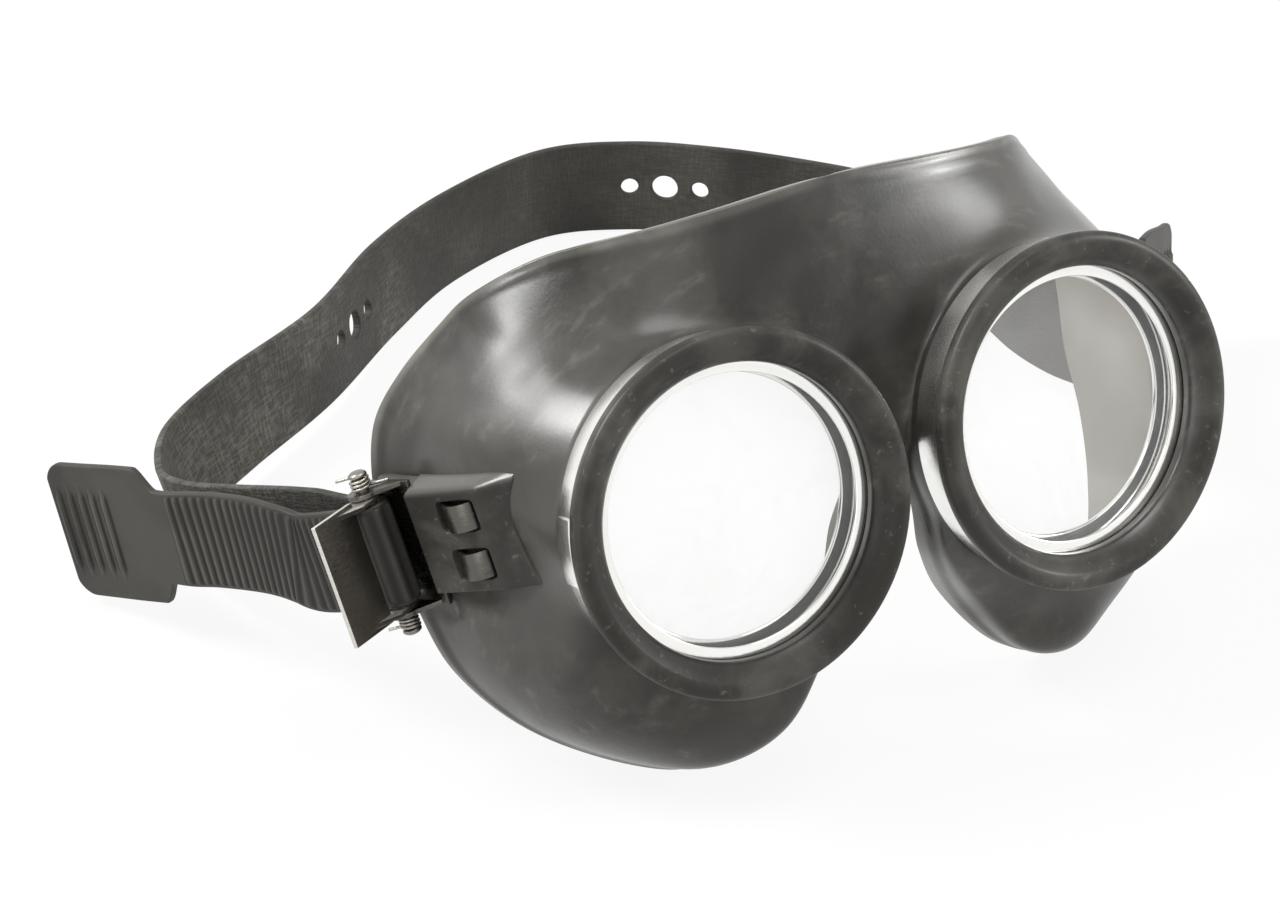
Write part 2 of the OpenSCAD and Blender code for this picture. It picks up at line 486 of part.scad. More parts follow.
// Ribs run from the tab round the turn; each has a crest and a trough
ribs_n = floor((near_turn + 5 - tab_l - rib_start) / rib_pitch);
ribs_near = [for (k = [0:2 * ribs_n]) [tab_l + rib_start + k * rib_pitch / 2, k % 2]];
ribs_m = floor((strap_l - far_turn + 5 - tab_l - rib_start) / rib_pitch);
ribs_far = [for (k = [2 * ribs_m:-1:0]) [strap_l - tab_l - rib_start - k * rib_pitch / 2, k % 2]];
tab_s = [0.05, 0.5, 1.4, 2.6, tip_r, tab_l / 2, tab_l - shoulder, tab_l - 3, tab_l - 2, tab_l - 1, tab_l];
plain_0 = ribs_near[2 * ribs_n][0] + 2;
plain_1 = ribs_far[0][0] - 2;
plain_n = 58;
stations = concat([for (s = tab_s) [s, 0]], ribs_near,
    [for (k = [0:plain_n]) [plain_0 + (plain_1 - plain_0) * k / plain_n, 0]],
    ribs_far, [for (s = reversed(tab_s)) [strap_l - s, 0]]);

function strap_section(s, rib) = let (t = tangent(s), w = across(s), n = cross(t, w), c = pick(0, s),
        near = s < strap_l / 2, h = half_width(near ? s : strap_l - s, near ? near_turn : strap_l - far_turn),
        b = 0.35, i = strap_t / 2, o = strap_t / 2 + rib * rib_h, hr = rib > 0 ? h - 0.9 : h - b)
    [c + h * w + (i - b) * n, c + hr * w + o * n, c - hr * w + o * n, c - h * w + (i - b) * n,
        c - h * w - (i - b) * n, c - (h - b) * w - i * n, c + (h - b) * w - i * n, c + h * w - (i - b) * n];
module strap_skin() {
    k = len(stations);
    pts = [for (q = stations) each strap_section(q[0], q[1])];
    e = (k - 1) * 8;
    polyhedron(pts, concat([for (q = [1:6]) [0, q, q + 1]], [for (q = [1:6]) [e, e + q + 1, e + q]],
        [for (i = [0:k - 2]) for (q = [0:7]) let (a = i * 8 + q, b = i * 8 + (q + 1) % 8)
            each [[a, b + 8, b], [a, a + 8, b + 8]]]), convexity = 10);
}

// Frame at a length along the band: X along it, Y across its width and Z out of its ribbed face
module on_strap(s) {
    t = tangent(s);
    w = across(s);
    n = cross(t, w);
    c = pick(0, s);
    multmatrix([[t.x, w.x, n.x, c.x], [t.y, w.y, n.y, c.y], [t.z, w.z, n.z, c.z], [0, 0, 0, 1]]) children();
}

// Hole groups: a large hole between two small ones
hole_s = [near_turn + 159, near_turn + 258.4];
module headband() color([0.25, 0.245, 0.235]) {
    difference() {
        strap_skin();
        for (s = hole_s) {
            on_strap(s) cylinder(d = hole_d, h = 8, center = true);
            for (k = [-1, 1]) on_strap(s + k * hole_gap) cylinder(d = small_d, h = 8, center = true);
        }
    }
    for (k = [0:4]) for (s = [grip_start + k * grip_pitch, strap_l - grip_start - k * grip_pitch])
        on_strap(s) translate([0, 0, strap_t / 2]) rotate([90, 0, 0])
            cylinder(d = 1, h = grip_l, center = true, $fn = 16);
}

mask_body();
clamp_band(1);  // left_clamp_band
seat_ring(1);  // left_seat_ring
lens_glass(1);  // left_lens_glass
clear_disc(1);  // left_clear_disc
snap_ring(1);  // left_snap_ring
buckle_base(1);  // left_buckle_base
hinge_pin(1);  // left_hinge_pin
roller(1);  // left_roller
thumb_lever(1);  // left_thumb_lever
lever_springs(1);  // left_lever_springs
clamp_band(-1);  // right_clamp_band
seat_ring(-1);  // right_seat_ring
lens_glass(-1);  // right_lens_glass
clear_disc(-1);  // right_clear_disc
snap_ring(-1);  // right_snap_ring
buckle_base(-1);  // right_buckle_base
hinge_pin(-1);  // right_hinge_pin
roller(-1);  // right_roller
thumb_lever(-1);  // right_thumb_lever
lever_springs(-1);  // right_lever_springs
headband();
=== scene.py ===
"""Looks for rubber safety goggles: moulding, headband, lens stacks and buckles round the CAD frame."""
import math

import bmesh
import bpy
import numpy as np
from mathutils import Matrix, Vector


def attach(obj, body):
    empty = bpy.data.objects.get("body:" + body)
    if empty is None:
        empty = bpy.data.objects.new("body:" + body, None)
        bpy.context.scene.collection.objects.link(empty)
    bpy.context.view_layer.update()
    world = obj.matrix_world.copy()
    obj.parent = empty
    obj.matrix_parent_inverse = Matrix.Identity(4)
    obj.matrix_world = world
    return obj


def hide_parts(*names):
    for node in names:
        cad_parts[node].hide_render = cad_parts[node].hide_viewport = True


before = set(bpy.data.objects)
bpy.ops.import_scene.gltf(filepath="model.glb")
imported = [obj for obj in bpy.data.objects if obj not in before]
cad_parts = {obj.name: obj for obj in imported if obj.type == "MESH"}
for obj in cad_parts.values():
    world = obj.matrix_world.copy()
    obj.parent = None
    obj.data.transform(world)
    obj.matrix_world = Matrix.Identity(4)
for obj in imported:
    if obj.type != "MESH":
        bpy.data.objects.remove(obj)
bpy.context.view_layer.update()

bl_info = {
    "name": "Rubber safety goggles",
    "version": (1, 0, 0),
    "blender": (4, 5, 0),
    "location": "3D View > Sidebar > Goggles",
    "description": "Builds the rubber, metal and glass pieces of safety goggles round their CAD frame",
    "category": "Object",
}

MM = 0.001
CORNER_STEPS = 4
SIDES = (("right", -1), ("left", 1))

# Sizes of the CAD part that the finer pieces share with it, in millimetres and degrees
LENS_GAP, TOE_OUT, OPENING_R, FLANGE_W, FLANGE_OUT, FLANGE_T = 65.6, 3.2, 23.8, 5.9, 3.1, 3.0
GROOVE_H, NECK_L, LIP_T, STACK_GAP = 2.2, 8.0, 1.4, 0.15
SEAT_BITE, SEAT_T, SEAT_FACE, GLASS_T, DISC_T = 1.4, 0.7, 3.2, 2.0, 0.8
SNAP_T, SNAP_W, SNAP_SPLIT, SNAP_AT = 1.0, 2.9, 7.0, 92
BAND_W, BAND_T, BAND_LAP, BAND_SINK, BAND_SPLIT = 5.6, 0.5, 22.0, 0.7, 8
LAP_W = BAND_W * 0.82
BROW_H, CHEEK_H, TEMPLE_X, TEMPLE_Y = 45.8, 45.6, 70.0, 53.0
LUG_H, LUG_L, LUG_Z, WINDOW_H, WINDOW_L, PAD_ARCH = 20.6, 23.0, 1.2, 5.2, 8.0, 3.4
PLATE_T, TONGUE_GAP, PIN_D, ROLLER_D, PIN_GAP = 0.8, 8.3, 2.0, 3.2, 0.08
BAND_H, END_H, STRAP_T, STRAP_GAP = 20.0, 17.5, 1.5, 0.2
TAB_L, TAB_H, HOLE_GAP, RIB_START, GRIP_START, GRIP_L = 26.0, 25.4, 7.5, 2.5, 2.0, 15.0
LEAN_BACK, REST_H = 16.9, 51.3564
LEVER_REST = {-1: 193, 1: 235}
STAND_SHIFT = np.array([-11.6, -92.4, 0.0])
FLANGE_R = OPENING_R + FLANGE_W
COLLAR_R = FLANGE_R - GROOVE_H
SEAT_R = OPENING_R + SEAT_BITE
POCKET_R = SEAT_R + STACK_GAP
BORE_R = SEAT_R - SEAT_T
SEAT_FRONT = LIP_T + STACK_GAP
SNAP_FRONT = SEAT_FRONT + SEAT_T + GLASS_T + DISC_T + 3 * STACK_GAP
POCKET_BACK = SNAP_FRONT + SNAP_T + 2 * STACK_GAP


def unit(v):
    """Each vector of an array divided by its own length."""
    return v / np.maximum(np.linalg.norm(v, axis=-1, keepdims=True), 1e-12)


def ease(x):
    """Smooth step: 3 c^2 - 2 c^3 with c held between 0 and 1."""
    c = np.clip(x, 0, 1)
    return c * c * (3 - 2 * c)


def move(v):
    """Matrix of a shift."""
    m = np.eye(4)
    m[:3, 3] = v
    return m


def turn(axis, degrees):
    """Matrix of a turn about one of the axes x, y, z."""
    c, s = math.cos(math.radians(degrees)), math.sin(math.radians(degrees))
    i, j = {"x": (1, 2), "y": (2, 0), "z": (0, 1)}[axis]
    m = np.eye(4)
    m[i, i] = m[j, j] = c
    m[i, j], m[j, i] = -s, s
    return m


def carry(matrix, points):
    """Points of an array moved by a matrix."""
    return points @ matrix[:3, :3].T + matrix[:3, 3]


STAND = move(STAND_SHIFT + [0, 0, REST_H]) @ turn("x", -LEAN_BACK)
WRAP_R = ROLLER_D / 2 + STRAP_GAP + STRAP_T / 2
RIB_ROOM, CHEEK_GAP, PLATE_GAP, LUG_DROP, TONGUE_L = 0.35, 0.35, 0.2, 2.9, 13
BASE_X = WRAP_R + STRAP_T / 2 + RIB_ROOM + PLATE_GAP
BED_X = BASE_X + PLATE_T + PLATE_GAP
LUG_REAR, LUG_FACE = -7.0, BED_X - LUG_DROP
TONGUE_END, TONGUE_UP = LUG_REAR - TONGUE_L, 0.7
EAR_Z = END_H / 2 + CHEEK_GAP + PLATE_T + PLATE_GAP
COIL_Z = EAR_Z + PLATE_T + STACK_GAP
PIN_AT = [-(TEMPLE_X + 4.5), TEMPLE_Y - 9.8, -2.7]
CLIP_LEAN, CLIP_ROLL, CLIP_TURN = -5.5, -7.8, 14
CLIP = move(PIN_AT) @ turn("z", CLIP_TURN) @ turn("y", CLIP_ROLL) @ turn("x", CLIP_LEAN)


def on_side(side):
    """Matrix from one half's own frame to the table: the left half is the mirror image of the right one."""
    return STAND @ np.diag([-side, 1, 1, 1])


def on_lens(side):
    """Matrix of one lens opening's frame, whose Z points forward out of the opening."""
    return on_side(side) @ move([-LENS_GAP / 2, 0, 0]) @ turn("z", -TOE_OUT) @ turn("x", 90)


def on_clip(side):
    """Matrix of one buckle's frame, with the origin on the hinge pin and Z up the pin."""
    return on_side(side) @ CLIP


# Meshes from arrays

def grid(rows, cols, close_rows=False, close_cols=False):
    """Quads between neighbouring rows and columns of a table of points, as an array of point numbers."""
    i = np.arange(rows if close_rows else rows - 1)[:, None]
    j = np.arange(cols if close_cols else cols - 1)[None, :]
    a, b = i * cols + j, ((i + 1) % rows) * cols + j
    c, d = ((i + 1) % rows) * cols + (j + 1) % cols, i * cols + (j + 1) % cols
    return np.stack([a, b, c, d], -1).reshape(-1, 4)


def end_caps(rows, cols):
    """The first row of a table of points and the last one, turned round, as two closing faces."""
    return [list(range(cols)), list(range(rows * cols - 1, (rows - 1) * cols - 1, -1))]


def apart(values, gap):
    """Values in rising order, without those that lie within a gap of the one before."""
    values = np.sort(values)
    return values[np.concatenate([[True], np.diff(values) > gap])]


def volume(points, quads):
    """Signed volume of a closed skin: the sum over its triangles of p . (q x r) / 6."""
    p = points[quads]
    return sum(np.einsum("ij,ij->i", p[:, 0], np.cross(p[:, k], p[:, k + 1])).sum() for k in (1, 2)) / 6


def piece(name, points, quads, finish, body, slot, nodes, marks=None, sharp=40, caps=()):
    """One mesh piece from points in millimetres: doubles merged, faces outwards, smooth with sharp edges."""
    if volume(points, quads) < 0:
        quads, caps = quads[:, ::-1], [c[::-1] for c in caps]
    mesh = bpy.data.meshes.new(name)
    mesh.from_pydata((points * MM).tolist(), [], quads.tolist() + [list(c) for c in caps])
    for key, values in (marks or {}).items():
        wide = np.ndim(values) == 2
        layer = mesh.attributes.new(key, "FLOAT_VECTOR" if wide else "FLOAT", "POINT")
        layer.data.foreach_set("vector" if wide else "value", np.asarray(values, np.float32).ravel())
    bm = bmesh.new()
    bm.from_mesh(mesh)
    bmesh.ops.remove_doubles(bm, verts=bm.verts, dist=2e-7)
    bmesh.ops.dissolve_degenerate(bm, edges=bm.edges, dist=1e-8)
    bmesh.ops.delete(bm, geom=[v for v in bm.verts if not v.link_faces], context="VERTS")
    bm.to_mesh(mesh)
    bm.free()
    return dress(name, mesh, finish, body, nodes, sharp)


def dress(name, mesh, finish, body, nodes, sharp):
    """Links a mesh as a piece that rides on a body and stands for CAD nodes."""
    mesh.shade_smooth()
    mesh.set_sharp_from_angle(angle=math.radians(sharp))
    obj = bpy.data.objects.new(name, mesh)
    bpy.context.scene.collection.objects.link(obj)
    obj.data.materials.append(finish)
    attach(obj, body)
    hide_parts(*nodes)
    return obj


def rounded(profile, radius):
    """Open profile whose inner corners turn along parabolas between points up to radius away on each side."""
    p = np.asarray(profile, float)
    before, corner, after = p[:-2], p[1:-1], p[2:]
    reach_a = np.minimum(radius, 0.45 * np.linalg.norm(corner - before, axis=1))[:, None]
    reach_b = np.minimum(radius, 0.45 * np.linalg.norm(after - corner, axis=1))[:, None]
    a, b = corner + reach_a * unit(before - corner), corner + reach_b * unit(after - corner)
    t = np.linspace(0, 1, CORNER_STEPS)[None, :, None]
    arcs = (1 - t) ** 2 * a[:, None] + 2 * t * (1 - t) * corner[:, None] + t * t * b[:, None]
    return np.concatenate([p[:1], arcs.reshape(-1, 2), p[-1:]])


def rounded_loop(profile, radius):
    """Closed profile with every corner rounded."""
    p = np.asarray(profile, float)
    return rounded(np.concatenate([p[-1:], p, p[:1]]), radius)[1:-1]


def lathe(profile, steps, start=0.0, sweep=360.0):
    """Closed profile of (radius, height) turned about Z: (r cos a, r sin a, z)."""
    whole = sweep >= 360
    a = np.radians(start + sweep * np.arange(steps + (not whole)) / steps)
    p = np.asarray(profile, float)
    points = np.stack([np.cos(a)[:, None] * p[:, 0], np.sin(a)[:, None] * p[:, 0],
                       np.broadcast_to(p[:, 1], (len(a), len(p)))], -1)
    n = len(p)
    caps = [] if whole else end_caps(len(a), n)
    quads = grid(len(a), n, whole, True)
    flat = points.reshape(-1, 3)
    if caps and volume(flat, quads) > 0:
        caps = [c[::-1] for c in caps]
    return flat, quads, caps


def joined(parts):
    """Several skins, each of points, quads and caps, as one."""
    points, quads, caps, start = [], [], [], 0
    for flat, faces, ends in parts:
        points.append(flat)
        quads.append(faces + start)
        caps += [[k + start for k in end] for end in ends]
        start += len(flat)
    return np.concatenate(points), np.concatenate(quads), caps


def catmull(points, first, last, u):
    """Catmull-Rom curve: the cubic through each two points whose slopes are half their neighbours' gap."""
    p = np.concatenate([[first], points, [last]])
    k = np.minimum(np.floor(u).astype(int), len(points) - 2)
    f = (u - k)[:, None]
    p0, p1, p2, p3 = p[k], p[k + 1], p[k + 2], p[k + 3]
    return 0.5 * (2 * p1 + (p2 - p0) * f + (2 * p0 - 5 * p1 + 4 * p2 - p3) * f ** 2
                  + (3 * p1 - p0 - 3 * p2 + p3) * f ** 3)


# Face piece

RIM = np.array([
    [0, 13, BROW_H], [20, 14.5, BROW_H - 1.2], [36.5, 19.9, BROW_H - 2.7], [46, 28, BROW_H - 4.4],
    [TEMPLE_X - 16, TEMPLE_Y - 15, BROW_H - 9.4], [TEMPLE_X - 12, TEMPLE_Y - 9, BROW_H - 14.5],
    [TEMPLE_X - 6.5, TEMPLE_Y - 3.4, 24], [TEMPLE_X - 1.5, TEMPLE_Y - 1, 16], [TEMPLE_X, TEMPLE_Y, 5],
    [TEMPLE_X - 1, TEMPLE_Y - 1.5, -4], [TEMPLE_X - 2, TEMPLE_Y - 5, -15], [TEMPLE_X - 5, TEMPLE_Y - 9, -26],
    [TEMPLE_X - 12.6, TEMPLE_Y - 16.4, 9.4 - CHEEK_H], [45, 28.5, 1.8 - CHEEK_H], [35, 23.2, -CHEEK_H],
    [24, 21.5, 4.8 - CHEEK_H], [15, 21, -30], [9, 16, -20], [6.6, 13, -10], [0, 9, 0.5]])
MIDDLE = np.array([RIM[-1], [0, 8.6, 8], [0, 8.5, 17], [0, 8.6, 27], [0, 10, 37], RIM[0]])
FLIP = np.array([-1, 1, 1])
LIP_ROWS, LIP_R, HEM_L, BEAD_W = 10, 0.42, 4, 3.2
PAD_REAR, PAD_FALL, PAD_RUN, ARCH_MIDDLE, ARCH_HALF, WINDOW_SET = 5.2, 2.1, 15.5, 0.2, 10.4, 1.5
TOE = math.radians(TOE_OUT)
BACK = np.array([-math.sin(TOE), math.cos(TOE), 0])


def ring_point(radius, depth, degrees):
    """Point of a circle round the lens opening at +X, depth in front of its face."""
    a = np.radians(degrees)
    out = np.stack([np.cos(a) * math.cos(TOE), np.cos(a) * math.sin(TOE), np.sin(a)], -1)
    return (np.array([LENS_GAP / 2, 0, 0]) + np.asarray(radius)[..., None] * out
            - np.asarray(depth)[..., None] * BACK)


def skirt_curves(rim_steps, mid_steps):
    """Four control points of the cubic that runs from the neck circle to the rim at each station. Gives each
    station's angle, length and whether it ends on the middle line, and the count of stations on the rim."""
    n_rim = (len(RIM) - 1) * rim_steps
    around = catmull(RIM, FLIP * RIM[1], FLIP * RIM[-2], np.arange(n_rim + 1) / rim_steps)
    down = catmull(MIDDLE, 2 * MIDDLE[0] - MIDDLE[1], 2 * MIDDLE[-1] - MIDDLE[-2],
                   np.arange(1, (len(MIDDLE) - 1) * mid_steps) / mid_steps)
    edge = np.concatenate([around, down])
    x, z = edge[:, :1], edge[:, 2:]
    a = np.degrees(np.arctan2(edge[:, 2], edge[:, 0] - LENS_GAP / 2))
    a = np.where((a > 178.5) & (edge[:, 2] < 1), a - 360, a)
    nought = np.zeros(len(a))
    neck = ring_point(nought + COLLAR_R, nought - NECK_L, a)
    out = ring_point(nought + 1, nought, a) - ring_point(nought, nought, a)
    span = edge - neck
    length = np.linalg.norm(span, axis=1)[:, None]
    course = unit(span)
    back = np.maximum(1, span @ BACK)[:, None]
    sideways = (span * out).sum(1, keepdims=True)

    # Shares of the cup below the temples, of its deep part at the nose, of the temple, and of the middle line
    cup = (ease(-a / 45) * ease((a + 172) / 35))[:, None]
    deep = ease((-a - 70) / 40)[:, None]
    temple = (ease((a + 8) / 24) * ease((80 - a) / 40))[:, None]
    close = np.where(z > 0, ease(1 - x / 36), np.maximum(0, 1 - x / 12))

    # At the middle line a cubic ends in the middle line's own surface, elsewhere it ends turned back
    level = np.array([1, 0, 0])
    slope = unit(np.concatenate([0 * z, 0.34 * ease((z - 20) / 24), 0 * z + 1], 1))
    over = unit(course[:, :1] * level + (course * slope).sum(1, keepdims=True) * slope)
    turned = unit((0.95 - 0.6 * temple) * course + (0.35 + 0.65 * temple) * BACK)
    end = unit(close * np.where(z > 0, over, -level) + (1 - close) * turned)

    straight = (0.45 - 0.37 * cup - 0.22 * temple) * back
    flare = 0.13 * temple * back + cup * (0.72 + 0.7 * deep) * sideways
    p1 = neck + straight * BACK + flare * out
    p2 = edge - (1 - cup) * (0.36 + 0.12 * temple) * length * end - cup * (0.6 + 0.25 * deep) * back * BACK

    # Each handle moves towards the mean of its neighbours, weighted by a bell curve
    steps = np.arange(-rim_steps, rim_steps + 1)
    bell = np.exp(-(steps / (0.75 * rim_steps)) ** 2)
    for handle, base in ((p1, (2 * neck + edge) / 3), (p2, (neck + 2 * edge) / 3)):
        off = handle - base
        mean = sum(b * np.roll(off, k, 0) for b, k in zip(bell, steps)) / bell.sum()
        handle += (mean - off) * (1 - cup) * ease((x - 1) / 9)
    middle = np.arange(len(a)) >= n_rim
    middle[0] = True
    return np.stack([neck, p1, p2, edge], 1), a, length, middle, n_rim


def cubic(curves, t):
    """Bezier cubic of each station at each of its own values of t."""
    t = t[..., None]
    s = 1 - t
    c = curves[:, None]
    return s ** 3 * c[:, :, 0] + 3 * s * s * t * c[:, :, 1] + 3 * s * t * t * c[:, :, 2] + t ** 3 * c[:, :, 3]


def facing(skin, middle):
    """The skin with one more point beyond both ends of each station, and its normals. Past the middle line
    that point is the mirror image of the last but one."""
    beyond = np.where(middle[:, None], skin[:, -2] * FLIP, 2 * skin[:, -1] - skin[:, -2])
    wide = np.concatenate([2 * skin[:, :1] - skin[:, 1:2], skin, beyond[:, None]], 1)
    around = np.roll(skin, -1, 0) - np.roll(skin, 1, 0)
    return wide, unit(np.cross(around, wide[:, 2:] - wide[:, :-2]))


def evened(skin, middle, share, rounds=70):
    """Evens the skin out: in each round a point moves along its own normal, by its share, towards the middle
    of the points beside it."""
    for _ in range(rounds):
        wide, normal = facing(skin, middle)
        around = (np.roll(skin, 1, 0) + np.roll(skin, -1, 0)) / 2 - skin
        across = (wide[:, 2:] + wide[:, :-2]) / 2 - skin
        pull = 0.45 * around + 0.15 * across
        skin = skin + share[..., None] * (pull * normal).sum(-1, keepdims=True) * normal
    return skin


def rim_lip(skin, normal, end, rise, wall, middle, n_rim):
    """Rows over the rim's edge: a quarter circle over its outer corner and one under its inner corner. Where
    the two halves meet they stay on the two faces."""
    edge, up = skin[:, -1:], normal[:, -1:]
    side = np.roll(end, -1, 0) - np.roll(end, 1, 0)
    side[0] = side[n_rim] = [1, 0, 0]
    beyond = unit(np.cross(up[:, 0], side))
    beyond *= np.sign((beyond * (skin[:, -1] - skin[:, -4])).sum(1, keepdims=True))
    q = np.linspace(0, math.pi / 2, LIP_ROWS // 2)
    q = np.concatenate([q, q[::-1]])
    outer = np.arange(LIP_ROWS) < LIP_ROWS // 2
    lift = np.where(outer, rise - LIP_R * (1 - np.cos(q)), LIP_R * (1 - np.cos(q)) - wall)
    lip = edge + lift[..., None] * up - (LIP_R * (1 - np.sin(q)))[:, None] * beyond[:, None]
    shared = middle & (np.arange(len(end)) % n_rim > 0)
    return np.where(shared[:, None, None], edge - np.where(outer, 0, wall)[:, None] * up, lip)


def flange_profile():
    """Radius and height of the lens pocket and the flange, from behind the pocket round to the neck."""
    back = FLANGE_OUT - FLANGE_T
    return rounded([
        [OPENING_R + 0.5, -POCKET_BACK - 1.2], [OPENING_R + 0.5, -POCKET_BACK], [POCKET_R, -POCKET_BACK],
        [POCKET_R, -LIP_T], [OPENING_R, -LIP_T], [OPENING_R, 0.5], [OPENING_R + 0.5, 1.1],
        [OPENING_R + 1.8, FLANGE_OUT - 0.9], [OPENING_R + 3.1, FLANGE_OUT],
        [OPENING_R + 4.4, FLANGE_OUT + 0.2], [FLANGE_R - 0.5, FLANGE_OUT - 0.1], [FLANGE_R, FLANGE_OUT - 0.7],
        [FLANGE_R, back + 0.6], [FLANGE_R - 0.5, back], [COLLAR_R, back], [COLLAR_R, 0.9 - NECK_L]], 0.45)


def moulding(wall, bead):
    """Closed section at each station round the lens: out along the skirt, over the rounded rim bead, back
    inside, through the lens pocket and round the flange. Gives the points and their marks."""
    curves, a, length, middle, n_rim = skirt_curves(rim_steps=10, mid_steps=6)
    end = curves[:, 3]
    hem = np.minimum(HEM_L, 0.45 * length)
    u = np.linspace(0, 1, 26)
    t_skin = u * (0.7 + 0.3 * u) * (1 - hem / length)
    t_hem = 1 - hem * np.array([0.82, 0.66, 0.52, 0.4, 0.3, 0.2]) / length
    t = np.concatenate([t_skin, t_hem, np.ones((len(a), 1))], 1)
    brow = np.where(middle, ease((end[:, 2] - 2) / 10), ease((58 - end[:, 0]) / 14) * (end[:, 2] > 0))
    bare = evened(cubic(curves, t), middle, brow[:, None] * ease(t / 0.12) * (middle[:, None] | (t < 1)))
    normal = facing(bare, middle)[1]
    normal[middle, -1] = unit(normal[middle, -1] * np.array([0, 1, 1]))

    rise = bead * ease(end[:, :1] / 6) * (1 - 0.6 * ease((end[:, 2:] - 16) / 16))
    skin = bare.copy()
    skin[:, :-1] += (rise * ease((BEAD_W - length * (1 - t[:, :-1])) / 1.3))[..., None] * normal[:, :-1]
    lip = rim_lip(skin, normal, end, rise, wall, middle, n_rim)
    outer = press_bed(skin[:, :-1])
    inner = (bare - wall * normal)[:, 4:-1][:, ::-1]
    profile = flange_profile()
    ring = ring_point(profile[None, :, 0], profile[None, :, 1], a[:, None])

    n_out, n_in, (r, height) = outer.shape[1], inner.shape[1], profile.T
    face = ease((height - 0.9) / 0.8) * ease((r - OPENING_R - 0.2) / 0.8)
    corner = 0.8 * np.exp(-((r - FLANGE_R + 0.2) ** 2 + (height - FLANGE_OUT + 0.35) ** 2) / 0.3)
    rubbed = np.concatenate([ease((np.arange(n_out) - n_out + 4) / 3), np.ones(LIP_ROWS)])
    rubbed = rubbed * ease(np.where(middle, 0, end[:, 0] / 5))[:, None]
    rest = np.tile(np.concatenate([np.zeros(n_in), corner]), (len(a), 1))
    half = LIP_ROWS // 2
    marks = {"flange": np.concatenate([np.zeros(n_out + LIP_ROWS + n_in), face]),
             "inside": np.concatenate([np.zeros(n_out + half), np.ones(half + n_in), np.zeros(len(r))]),
             "wear": np.concatenate([rubbed, rest], 1)}
    return np.concatenate([outer, lip, inner, ring], 1), marks, middle, (n_out, n_out + LIP_ROWS - 1)


def press_bed(points):
    """Presses the skin behind each pad flat where the buckle lies, down to the bed in the buckle's frame."""
    here = carry(np.linalg.inv(CLIP), points * FLIP)
    x, y, z = (here[..., k] for k in range(3))
    inside = ease((y - LUG_REAR + 0.6) / 1.2) * ease((14.2 - np.abs(z)) / 1.2) * (y < 15.5)
    here[..., 0] += inside * np.maximum(0, BED_X + 0.15 - x)
    return carry(CLIP, here) * FLIP


def both_halves(points, middle, lip_rows):
    """Quads of both halves. Between two stations on the middle line the rim's own quads are left out."""
    n, m = points.shape[:2]
    quads = grid(n, m, True, True).reshape(n, m, 4)
    keep = np.ones((n, m), bool)
    shared = middle & np.roll(middle, -1)
    keep[np.ix_(shared, np.arange(lip_rows[0], lip_rows[1]))] = False
    quads = quads[keep]
    flat = points.reshape(-1, 3)
    return np.concatenate([flat, flat * FLIP]), np.concatenate([quads, quads[:, ::-1] + n * m])


def skin_depth(y, z):
    """Depth of the skirt under a pad in the buckle's frame: a quartic in y and z fitted to its points."""
    curves = skirt_curves(rim_steps=4, mid_steps=2)[0]
    t = np.broadcast_to(np.linspace(0.05, 1, 40), (len(curves), 40))
    p = carry(np.linalg.inv(CLIP), cubic(curves, t) * FLIP).reshape(-1, 3)
    p = p[(np.abs(p[:, 1] + 11) < 24) & (np.abs(p[:, 2] - 1) < 14) & (p[:, 0] < 20) & (p[:, 0] > -12)]

    def terms(v, w):
        return np.stack([(v / 20) ** i * (w / 20) ** j for i in range(5) for j in range(5 - i)], -1)

    return terms(y, z) @ np.linalg.lstsq(terms(p[:, 1], p[:, 2]), p[:, 0], rcond=None)[0]


def lines(lo, hi, edges):
    """Rising places of a grid's lines, half a millimetre apart and closer beside each edge."""
    near = np.add.outer(edges, [-0.5, -0.3, -0.18, -0.09, 0, 0.09, 0.18, 0.3, 0.5]).ravel()
    values = np.concatenate([np.arange(lo, hi, 0.5), near, [lo, hi]])
    return apart(values[(values >= lo) & (values <= hi)], 0.03)


